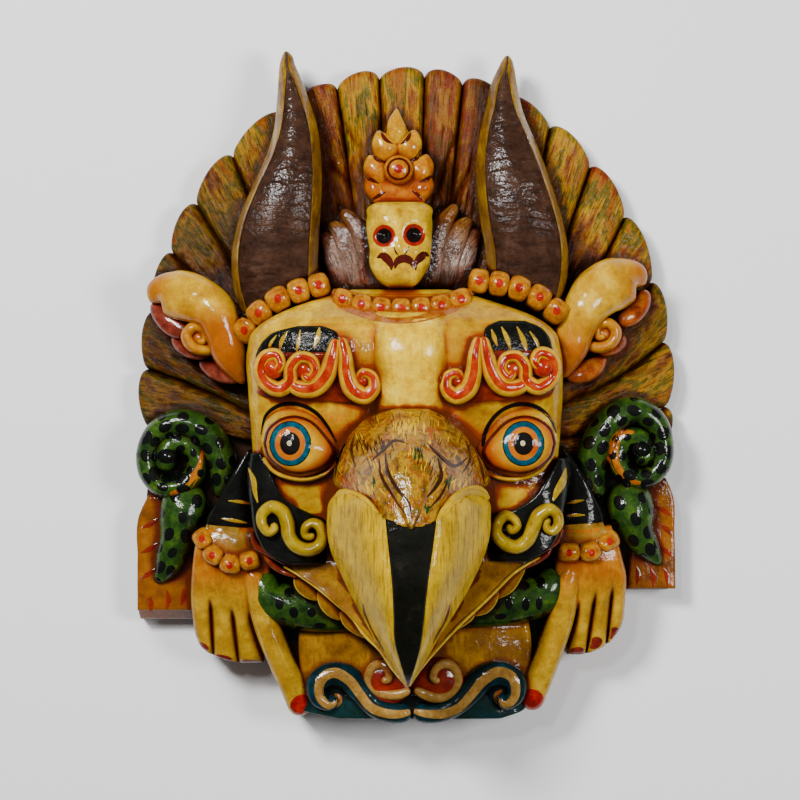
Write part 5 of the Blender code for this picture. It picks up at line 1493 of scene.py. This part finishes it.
def scatter(stations, apart, size):
    """Places for spots in two or three staggered rows along a body."""
    table = smooth(stations, max(3, int(path_length(stations) / apart)))
    places = []
    for k, ((x, y, edge, half, rise), (dx, dy)) in enumerate(zip(table, heading(table))):
        for row in ((-0.42, 0.5) if k % 2 else (-0.86, 0.05, 0.88)):
            off = half * (row + random.uniform(-0.06, 0.06))
            jog = random.uniform(-0.12, 0.12) * apart
            big = size * random.uniform(0.85, 1.15) * (0.75 if abs(row) > 0.7 else 1)
            turn = math.degrees(math.atan2(dy, dx)) + random.uniform(-20, 20)
            places.append((x - dy * off + dx * jog, y + dx * off + dy * jog, big * 1.15, big * 0.85, turn))
    return places


belly_orange = painted("belly_orange", [(0.3, "#7c3404"), (0.6, "#a8640a")], glaze_and_shade="#2a1404", mottle=5)
BELLIES = {
    "left": [
        [
            (-115, -35, 0.6), (-117, -46, 1.6), (-120.5, -53.5, 3.2), (-127.5, -60.5, 3.0),
            (-133.5, -61.5, 0.8),
        ],
    ],
    "right": [
        [
            (128.5, -26.5, 0.8), (121, -27.5, 2.4), (116.5, -36.5, 3.2), (118.5, -47, 3.0),
            (125, -53.5, 2.2), (134, -56, 0.6),
        ],
    ],
}
COIL_EYES = {"left": (-135.5, -40.5), "right": (133, -36.5)}
random.seed(7)
for side in ("left", "right"):
    coil = rib(f"serpent_{side}", COILS[side], 240, [snake_green])
    mound(f"serpent_coil_eye_{side}", COIL_EYES[side], (6, 5.6), 33, 7, [spot_black])
    strokes(f"serpent_belly_{side}", BELLIES[side], [coil], belly_orange)
    spots(f"serpent_spots_{side}", scatter(COILS[side][:10], 9.2, 3.3), [coil], spot_black, lift=0.3)
    spots(f"serpent_inner_spots_{side}", scatter(COILS[side][9:], 8.0, 2.4), [coil], spot_black, lift=0.3)
    tail = rib(f"serpent_tail_{side}", TAILS[side], 90, [snake_green])
    spots(f"serpent_tail_spots_{side}", scatter(TAILS[side], 8.6, 3.3), [tail], spot_black)
middle_snake = rib("serpent_behind_beak", BEHIND_BEAK, 120, [snake_green])
BEHIND_SPOTS = [
    (-71, -122, 2.4, 3.6, 0), (-69.5, -132.5, 2.2, 2.2, 0), (-63, -127, 2.5, 3.3, 10),
    (-60, -136.5, 2.4, 1.8, 0), (-65.5, -116, 3.0, 2.6, 0), (-54.5, -119, 2.6, 3.0, 0),
    (-53, -127, 2.5, 2.8, 0), (-48.5, -134.5, 3.4, 1.6, 0), (-43, -127, 2.4, 3.0, 0),
    (50, -122, 2.4, 3.0, 0), (57, -122, 2.2, 3.5, 0), (66.5, -122.5, 2.2, 3.8, 0), (74, -122, 1.9, 3.8, 0),
    (52.5, -129.5, 3.3, 1.9, 10), (61.5, -132.5, 3.8, 1.2, 0), (69, -130.5, 2.2, 1.3, 0),
    (65.5, -112.5, 3.4, 2.6, 0), (75, -110.5, 2.6, 3.4, 0), (77.5, -129, 2.0, 2.4, 0),
]
spots("serpent_behind_spots", BEHIND_SPOTS, [middle_snake], spot_black)


# Wings. The flat lower end of each folded wing, orange yellow with red strokes for the feathers.
# The left one has a short foot below it, which slopes back to its end.
wing_orange = painted(
    "wing_orange", ["#4c260a", "#784408", "#905c08"], glaze_and_shade="#4a1c04", mottle=14, streak=(2, 12, 2),
    streak_ink="#8a4408", streak_share=0.5, lumps=0.28,
)
wing_maroon = painted("wing_maroon", [(0.3, "#4c1004"), (0.6, "#842208")], glaze_and_shade="#2a0c04", mottle=4)
WINGS = {
    "left": [(-63, -147.5, -137), (-74, -152.5, -130), (-99.5, -153.5, -122), (-128.5, -153.5, -122)],
    "right": [(-53, 140, 148), (-61, 137.5, 151.5), (-84.5, 130, 153), (-116, 125.5, 153.5)],
}
WING_LEVEL = 22.0
# The foot's level, where it starts to slope and how much.
STEP_LEVEL, SLOPE_FROM, SLOPE = 21.4, -127.6, 1.3


def foot_slope(x, y):
    return np.minimum(STEP_LEVEL, STEP_LEVEL - SLOPE * (SLOPE_FROM - y)) + 0 * x


FOOT_ROWS = [(-124, -153, -122), (-129, -153, -122), (-134, -152.4, -122)]
slab("wing_foot_left", FOOT_ROWS, foot_slope, 30, 12, [wing_orange], root=BACK_LEVEL, soften=1.0)
WING_STROKES = {
    "left": [
        [(-151, -81.5, 0.3), (-146.5, -79.5, 1.5), (-141.5, -76, 0.3)],
        [(-151.5, -95.5, 0.3), (-146.5, -93.5, 1.5), (-142, -90, 0.3)],
        [(-151.5, -110.5, 0.3), (-147.5, -108, 1.5), (-143, -104.5, 0.3)],
        [(-146, -120.5, 0.3), (-145.5, -125, 1.5), (-146, -129, 0.4)],
        [(-136.5, -117, 0.3), (-135.5, -122.5, 1.5), (-137, -127.5, 0.4)],
        [(-127, -115.5, 0.3), (-127, -120.5, 1.5), (-128.5, -125.5, 0.4)],
    ],
    "right": [
        [(142, -69, 0.3), (147.5, -72, 1.5), (151, -74.5, 0.3)],
        [(144.5, -79, 0.3), (148.5, -82.5, 1.5), (151.5, -85.5, 0.3)],
        [(144.5, -91.5, 0.3), (148.5, -95, 1.5), (152.5, -98.5, 0.3)],
        [(131, -103, 0.3), (132, -108, 1.5), (131, -114, 0.4)],
        [(139, -104, 0.3), (140.5, -109, 1.5), (140.5, -115, 0.4)],
        [(146.5, -104, 0.3), (148.5, -109, 1.5), (149, -115, 0.4)],
    ],
}
for side, rows in WINGS.items():
    wing = slab(f"wing_{side}", rows, flat(WING_LEVEL), 40, 20, [wing_orange], root=BACK_LEVEL, soften=1.5)
    strokes(f"wing_strokes_{side}", WING_STROKES[side], [wing], wing_maroon)


# Arms and hands. A black sleeve with gold stripes, a cuff and a string of beads at each wrist.
# Each hand hangs over the base with three short fingers and a long one that reaches its foot, with red nails.
hand_yellow = painted(
    "hand_yellow", ["#7c5410", "#a47c0c", "#cca724"], glaze_and_shade="#5a2406", mottle=14, streak=(2.5, 16, 2),
    streak_ink="#b47c14", streak_share=0.4, fade=(["#7c3c04", "#9c5400", "#b87804"], "Y", -122, -104),
)
nail_red = painted("nail_red", ["#5c0804", "#94120a", "#b4240e"], glaze_and_shade="#2c0402", mottle=5, lumps=0.25)
SLEEVES = {
    "left": [
        (-36.5, -89.5, -86.5), (-50.5, -98, -83.5), (-64.5, -106, -82.5), (-78.5, -114, -82.5),
        (-86, -115, -82.5),
    ],
    "right": [
        (-34.5, 85.5, 89), (-48, 82.5, 97.5), (-62.5, 81.5, 105.5), (-76, 81.5, 111.5), (-82.5, 81.5, 112),
    ],
}
HANDS = {
    "left": [
        (-80, -115, -83), (-89.5, -118.5, -80), (-99, -120, -76.5), (-109.5, -121, -76.5),
        (-120.5, -121.5, -78), (-133.5, -120.5, -81.5), (-143.5, -118.5, -81.5), (-149.5, -115, -81),
        (-154, -107.5, -80.5), (-157.5, -95, -81.5),
    ],
    "right": [
        (-79, 84.5, 115), (-89.5, 83.5, 119), (-99, 83.5, 121.5), (-107, 83.5, 123.5), (-116.5, 86, 123.5),
        (-126.5, 89.5, 123), (-136, 90, 121.5), (-141.5, 90, 118), (-147.5, 90, 112.5), (-152.5, 91, 101.5),
    ],
}
# Each slit between two fingers runs from its root to its end.
SLITS = {
    "left": [
        ((-110.5, -119), (-109.5, -152)), ((-98.5, -124.5), (-95.5, -156)),
        ((-88.5, -127.5), (-80.5, -157)),
    ],
    "right": [((116, -112), (113.5, -143.5)), ((106.5, -115), (102, -150.5)), ((97, -121), (90, -152.5))],
}
POINTERS = {
    "left": [
        (-88, -101.5, 46, 6, 6), (-83.5, -115, 45, 7.2, 8), (-79, -133.5, 43, 7.4, 8.5),
        (-72, -152.5, 41, 7.2, 8.5), (-64, -170, 38, 7.4, 8), (-58, -186.5, 34, 7.0, 7),
    ],
    "right": [
        (93.5, -99.5, 46, 6, 6), (90, -113, 45, 7.2, 8), (87, -130, 43, 7.4, 8.5),
        (81, -149.5, 41, 7.2, 8.5), (74.5, -166.5, 38, 7.4, 8), (68.5, -183.5, 34, 7.0, 7),
    ],
}
BRACELETS = {
    "left": [(-114.5, -86, 48), (-108.5, -95, 53), (-98.5, -100.5, 55), (-87.5, -98, 54)],
    "right": [(113.5, -87.5, 48), (103, -93.5, 54), (90.5, -93.5, 54)],
}
STRIPES = {
    "left": [
        [(-100, -65, 0.3), (-93.5, -65.5, 0.9), (-86.5, -67, 0.3)],
        [(-104, -75, 0.3), (-97, -76, 1.0), (-89.5, -77.5, 0.3)],
    ],
    "right": [
        [(90, -66.5, 0.3), (94.5, -65.5, 0.9), (99.5, -64.5, 0.3)],
        [(89.5, -73.5, 0.3), (94.5, -73, 0.9), (100, -73, 0.3)],
    ],
}
cuff_ochre = painted(
    "cuff_ochre", ["#5c3c0c", "#8a6414", "#ac8420"], glaze_and_shade="#3a1c08", mottle=10, lumps=0.17,
)
CUFFS = {
    "left": [(-113.5, -82, 4.0), (-103, -86, 7.0), (-93, -87, 7.0), (-83, -84.5, 4.0)],
    "right": [(84.5, -82.5, 4.0), (94, -84.5, 6.5), (103.5, -84, 6.5), (111.5, -80.5, 4.0)],
}
NAILS = {"left": [(-58.5, -180.5, 7.2, 6.6, 25)], "right": [(70.5, -177.5, 7.2, 6.6, -25)]}
tip_red = painted("tip_red", ["#3c0a06", "#681810", "#842c1c"], glaze_and_shade="#240402", mottle=5, lumps=0.25)
TIPS = {
    "left": [(-114.5, -147.5, 3.2, 1.6, -35), (-103.5, -154, 5.0, 1.5, -12), (-88, -157, 5.4, 1.6, -5)],
    "right": [(116.5, -140, 4.2, 3.4, 30), (106, -145.5, 4.6, 3.4, 25), (96, -151, 4.6, 3.2, 15)],
}


def hand_height(middle, slits):
    """The back of a hand over its middle line, with a narrow cut in a wider dip between each two fingers."""

    def height(x, y):
        level = eased(y, [(-158, 33), (-148, 38), (-135, 43), (-118, 48), (-100, 52), (-78, 50)])
        level = level - 4 * np.abs((x - middle) / 24) ** 2.5
        for (x0, y0), (x1, y1) in slits:
            along = np.clip((y0 - y) / (y0 - y1), 0, 1.2)
            wide = 0.75 + 0.5 * np.sin(math.pi * np.minimum(1, along))
            away = np.abs(x - (x0 + (x1 - x0) * along)) / wide
            dip = 5.5 * np.exp(-((away / 0.9) ** 2)) + 2.2 * np.exp(-((away / 2.6) ** 2))
            level = level - np.minimum(1, along * 4) * dip
        return level

    return height


for side, middle in (("left", -98), ("right", 98)):
    sleeve = slab(f"sleeve_{side}", SLEEVES[side], crowned(36, 11, 19, 2.5, middle), 60, 40, [smooth_black])
    strokes(f"sleeve_stripes_{side}", STRIPES[side], [sleeve], gold)
    hand = slab(f"hand_{side}", HANDS[side], hand_height(middle, SLITS[side]), 110, 130, [hand_yellow],
                root=BACK_LEVEL, soften=3.5)
    strokes(f"cuff_{side}", [CUFFS[side]], [hand], cuff_ochre, lift=0.25)
    pointer = rib(f"pointer_{side}", POINTERS[side], 110, [hand_yellow], root=BACK_LEVEL)
    spots(f"nail_{side}", NAILS[side], [pointer], nail_red)
    spots(f"fingertips_{side}", TIPS[side], [hand], tip_red, drop=4)
    beads(f"bracelet_{side}", BRACELETS[side], 30, dot=1.8, half=5.3)


# Base. A low block with a cloud scroll along its foot: two red spirals between blue-green waves edged in tan.
# The block is brown ochre, and its foot is blue-green under a band of ochre.
base_brown = painted(
    "base_brown", ["#60380a", "#8c5e0c", "#b0800c"], glaze_and_shade="#3a1a06", mottle=18, streak=(3, 14, 2),
    streak_ink="#6a3c0c", streak_share=0.5, coat=0.35, deep=0.6,
)
wave_blue = painted(
    "wave_blue", [(0.3, "#04100e"), (0.5, "#062024"), (0.65, "#0a3440"), (0.8, "#10506a")], glaze_and_shade="#020605",
    mottle=14, coat=0.35,
)
foot_paint = painted(
    "foot_paint", ["#04100e", "#082420", "#0c3440"], glaze_and_shade="#020605", mottle=12,
    fade=(["#5c3008", "#8a5808", "#a87c10"], "Y", -170, -163),
)
tan_line = painted("tan_line", ["#74501c", "#946c2c", "#ac8848"], glaze_and_shade="#4a2c10", mottle=5)
spiral_red = painted("spiral_red", ["#4c0c04", "#7c1c08", "#98300c"], glaze_and_shade="#3a0804", mottle=6)
rows = [
    (-133.5, -60, 69), (-143.5, -61, 70.5), (-157, -60.5, 70.5), (-171.5, -57.5, 66), (-180.5, -53, 59.5),
]
slab("base_block", rows, crowned(38, 6, 64, 4), 50, 50, [base_brown], root=BACK_LEVEL, soften=3)
rows = [(-173, -60, 66), (-177.5, -60, 66), (-184, -57, 65), (-188, -34.5, 52.5)]
foot = slab("base_foot", rows, crowned(39, 5.6, 66, 4), 24, 60, [foot_paint], root=BACK_LEVEL)
WAVES = {
    "left": [
        (-39.5, -174.5, 46, 3, 3), (-43, -178.5, 46, 4, 4), (-48.5, -176.5, 46, 5, 5),
        (-50.5, -168.5, 46, 6, 6), (-44, -163, 46, 6.6, 6), (-34.5, -163.5, 46, 7, 6),
        (-26, -171.5, 46, 7, 6), (-16, -181, 46, 6.6, 6), (-5, -184, 46, 6, 6), (3, -183, 46, 5.4, 6),
    ],
    "right": [
        (52.5, -173.5, 46, 3, 3), (55, -178, 46, 4, 4), (60.5, -175, 46, 5, 5), (61.5, -167.5, 46, 6, 6),
        (55, -162.5, 46, 6.6, 6), (45.5, -163, 46, 7, 6), (36.5, -171.5, 46, 7, 6), (26, -180, 46, 6.6, 6),
        (14.5, -184, 46, 6, 6), (3, -183, 46, 5.4, 6),
    ],
}
WAVE_LINES = {
    "left": [
        (3.5, -182.5, 1.4), (-3, -184, 2.2), (-12.5, -183.5, 2.6), (-20.5, -180, 2.6), (-26, -173, 2.6),
        (-33, -164.5, 2.8), (-40.5, -161, 2.8), (-46.5, -163.5, 2.8), (-49, -169, 2.6), (-48, -175.5, 2.4),
        (-43.5, -179.5, 2.2), (-38.5, -178.5, 1.8), (-38, -175, 1.4), (-40.5, -174, 0.8),
    ],
    "right": [
        (3.5, -182.5, 1.4), (12, -184, 2.2), (20.5, -184, 2.6), (29.5, -180.5, 2.6), (36, -173.5, 2.6),
        (43.5, -165, 2.8), (52, -160.5, 2.8), (59, -163.5, 2.8), (61, -169.5, 2.6), (60, -175.5, 2.4),
        (56, -179, 2.2), (51.5, -177.5, 1.8), (50.5, -174, 1.4), (53.5, -171.5, 0.8),
    ],
}
WAVE_HEARTS = {"left": (-42, -171.5), "right": (53.5, -170.5)}
for side, stations in WAVES.items():
    heart = mound(f"wave_heart_{side}", WAVE_HEARTS[side], (9.5, 10.5), 42.5, 2.5, [wave_blue], root=20)
    wave = rib(f"wave_{side}", stations, 120, [wave_blue], root=20)
    strokes(f"wave_line_{side}", [WAVE_LINES[side]], [wave, heart, foot], tan_line)
SPIRALS = {
    "left": [
        (2, -170.5, 52, 2.0, 2), (-3.5, -173, 51, 2.8, 2.2), (-11.5, -173, 50, 3.0, 2.2),
        (-18.5, -170, 49, 3.0, 2.2), (-21, -163.5, 49, 2.9, 2.2), (-18.5, -158, 50, 2.8, 2.2),
        (-13, -156.5, 52, 2.6, 2.2), (-10, -160, 53, 2.4, 2.2), (-10.5, -164.5, 53, 2.2, 2.2),
        (-14, -165.5, 53, 1.8, 2),
    ],
    "right": [
        (4.5, -170, 52, 2.0, 2), (9.5, -173, 51, 2.8, 2.2), (17.5, -175, 50, 3.0, 2.2),
        (25, -172, 49, 3.0, 2.2), (28.5, -165.5, 49, 2.9, 2.2), (26.5, -159, 50, 2.8, 2.2),
        (21, -156, 52, 2.6, 2.2), (16, -159, 53, 2.4, 2.2), (15, -164, 53, 2.2, 2.2),
        (18.5, -166, 53, 1.8, 2),
    ],
}
for side, centre in (("left", (-11.5, -166.5)), ("right", (17.5, -166))):
    mound(f"base_spiral_{side}", centre, (14.6, 13.4), 47, 5, [spiral_red], root=20)
    rib(f"base_spiral_line_{side}", SPIRALS[side], 130, [tan_line], root=40, arc=9)


# Toning and painted shade. The knife's small unevenness over the whole carving, and a map of where the
# surface dips below what is round it, which every paint reads to darken there: brown toner and painted shade.
CORNER = (-160, -196)  # of a map in cells of 1 mm, which covers the whole mask
CELLS = (320, 392)


def cells(co):
    """The cell that each point is over."""
    return tuple(np.clip((co[:, a] - CORNER[a]).astype(int), 0, CELLS[a] - 1) for a in (0, 1))


ground = np.zeros(CELLS)
places = []
for piece in carved:
    co = np.empty(len(piece.data.vertices) * 3, np.float32)
    piece.data.vertices.foreach_get("co", co)
    co = co.reshape(-1, 3).astype(float) * 1000
    wobble = np.array([noise.noise(Vector(p) / 9.0) for p in co]) * 0.35
    wobble += np.array([noise.noise(Vector(p) / 3.2) for p in co]) * 0.1
    co[:, 2] += wobble * np.clip(co[:, 2] / 8.0, 0, 1)
    places.append(co)
    np.maximum.at(ground, cells(co), co[:, 2])


def spread(field, reach):
    """Averages a field over a square of cells, twice, which is close to a soft round blur."""
    for _ in range(2):
        for axis in (0, 1):
            margins = [(reach + 1, reach) if a == axis else (0, 0) for a in (0, 1)]
            padded = np.pad(field, margins, mode="edge")
            total = np.cumsum(np.insert(padded, 0, 0, axis=axis), axis=axis)
            size = field.shape[axis]
            high = np.take(total, range(2 * reach + 2, 2 * reach + 2 + size), axis=axis)
            low = np.take(total, range(1, 1 + size), axis=axis)
            field = (high - low) / (2 * reach + 1)
    return field


# Cells that no point is over take the highest level next to them.
for _ in range(2):
    padded = np.pad(ground, 1, mode="edge")
    near = [padded[i : i + CELLS[0], j : j + CELLS[1]] for i in range(3) for j in range(3)]
    ground = np.where(ground < 1, np.max(near, axis=0), ground)
fine, broad = spread(ground, 2), spread(ground, 7)
for piece, co in zip(carved, places):
    at = cells(co)
    dip = 0.5 * (fine[at] - co[:, 2]) / 3.0 + 0.5 * (broad[at] - co[:, 2]) / 12.0
    mark = piece.data.attributes.new("recess", "FLOAT", "POINT")
    mark.data.foreach_set("value", np.clip(dip, -1, 2).astype(np.float32))
    piece.data.vertices.foreach_set("co", (co / 1000).astype(np.float32).ravel())
    piece.data.update()


# Floor, lights and camera. A pale floor, three soft boxes above it and a faint white sky.
# The camera looks straight down.
SENSOR = 36  # the camera's, mm
SEEN, SEEN_FROM = 0.8 * 0.567, 1.57  # the width that the photograph takes in, and how far below the lens, m
floor_mesh = bpy.data.meshes.new("floor")
floor_mesh.from_pydata([(-4, -4, 0), (4, -4, 0), (4, 4, 0), (-4, 4, 0)], [], [(0, 1, 2, 3)])
floor = bpy.data.objects.new("floor", floor_mesh)
bpy.context.scene.collection.objects.link(floor)
floor_white = bpy.data.materials.new("floor_white")
floor_white.use_nodes = True
floor_skin = floor_white.node_tree.nodes["Principled BSDF"]
floor_skin.inputs["Base Color"].default_value = (0.95, 0.95, 0.95, 1)
floor_skin.inputs["Roughness"].default_value = 0.9
floor_mesh.materials.append(floor_white)
floor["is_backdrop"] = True
for name, spot, size, power in (
    ("key_box", (-0.6, 0.6, 1.3), 0.3, 28), ("fill_box", (0.75, 0.05, 1.2), 0.35, 13),
    ("top_box", (-0.3, 0.45, 1.65), 0.14, 5),
):
    lamp = bpy.data.lights.new(name, "AREA")
    lamp.energy, lamp.size = power, size
    holder = bpy.data.objects.new(name, lamp)
    holder.location = spot
    holder.rotation_euler = (Vector((0, 0, 0.05)) - Vector(spot)).to_track_quat("-Z", "Y").to_euler()
    bpy.context.scene.collection.objects.link(holder)
sky = bpy.data.worlds.new("sky")
sky.use_nodes = True
sky.node_tree.nodes["Background"].inputs["Color"].default_value = (1, 1, 1, 1)
sky.node_tree.nodes["Background"].inputs["Strength"].default_value = 0.1
bpy.context.scene.world = sky
lens = bpy.data.cameras.new("camera")
lens.sensor_width = SENSOR
lens.lens = SENSOR * SEEN_FROM / SEEN
camera = bpy.data.objects.new("camera", lens)
camera.location = (-0.0036, -0.0075, 1.6)
bpy.context.scene.collection.objects.link(camera)
bpy.context.scene.camera = camera

low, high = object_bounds()
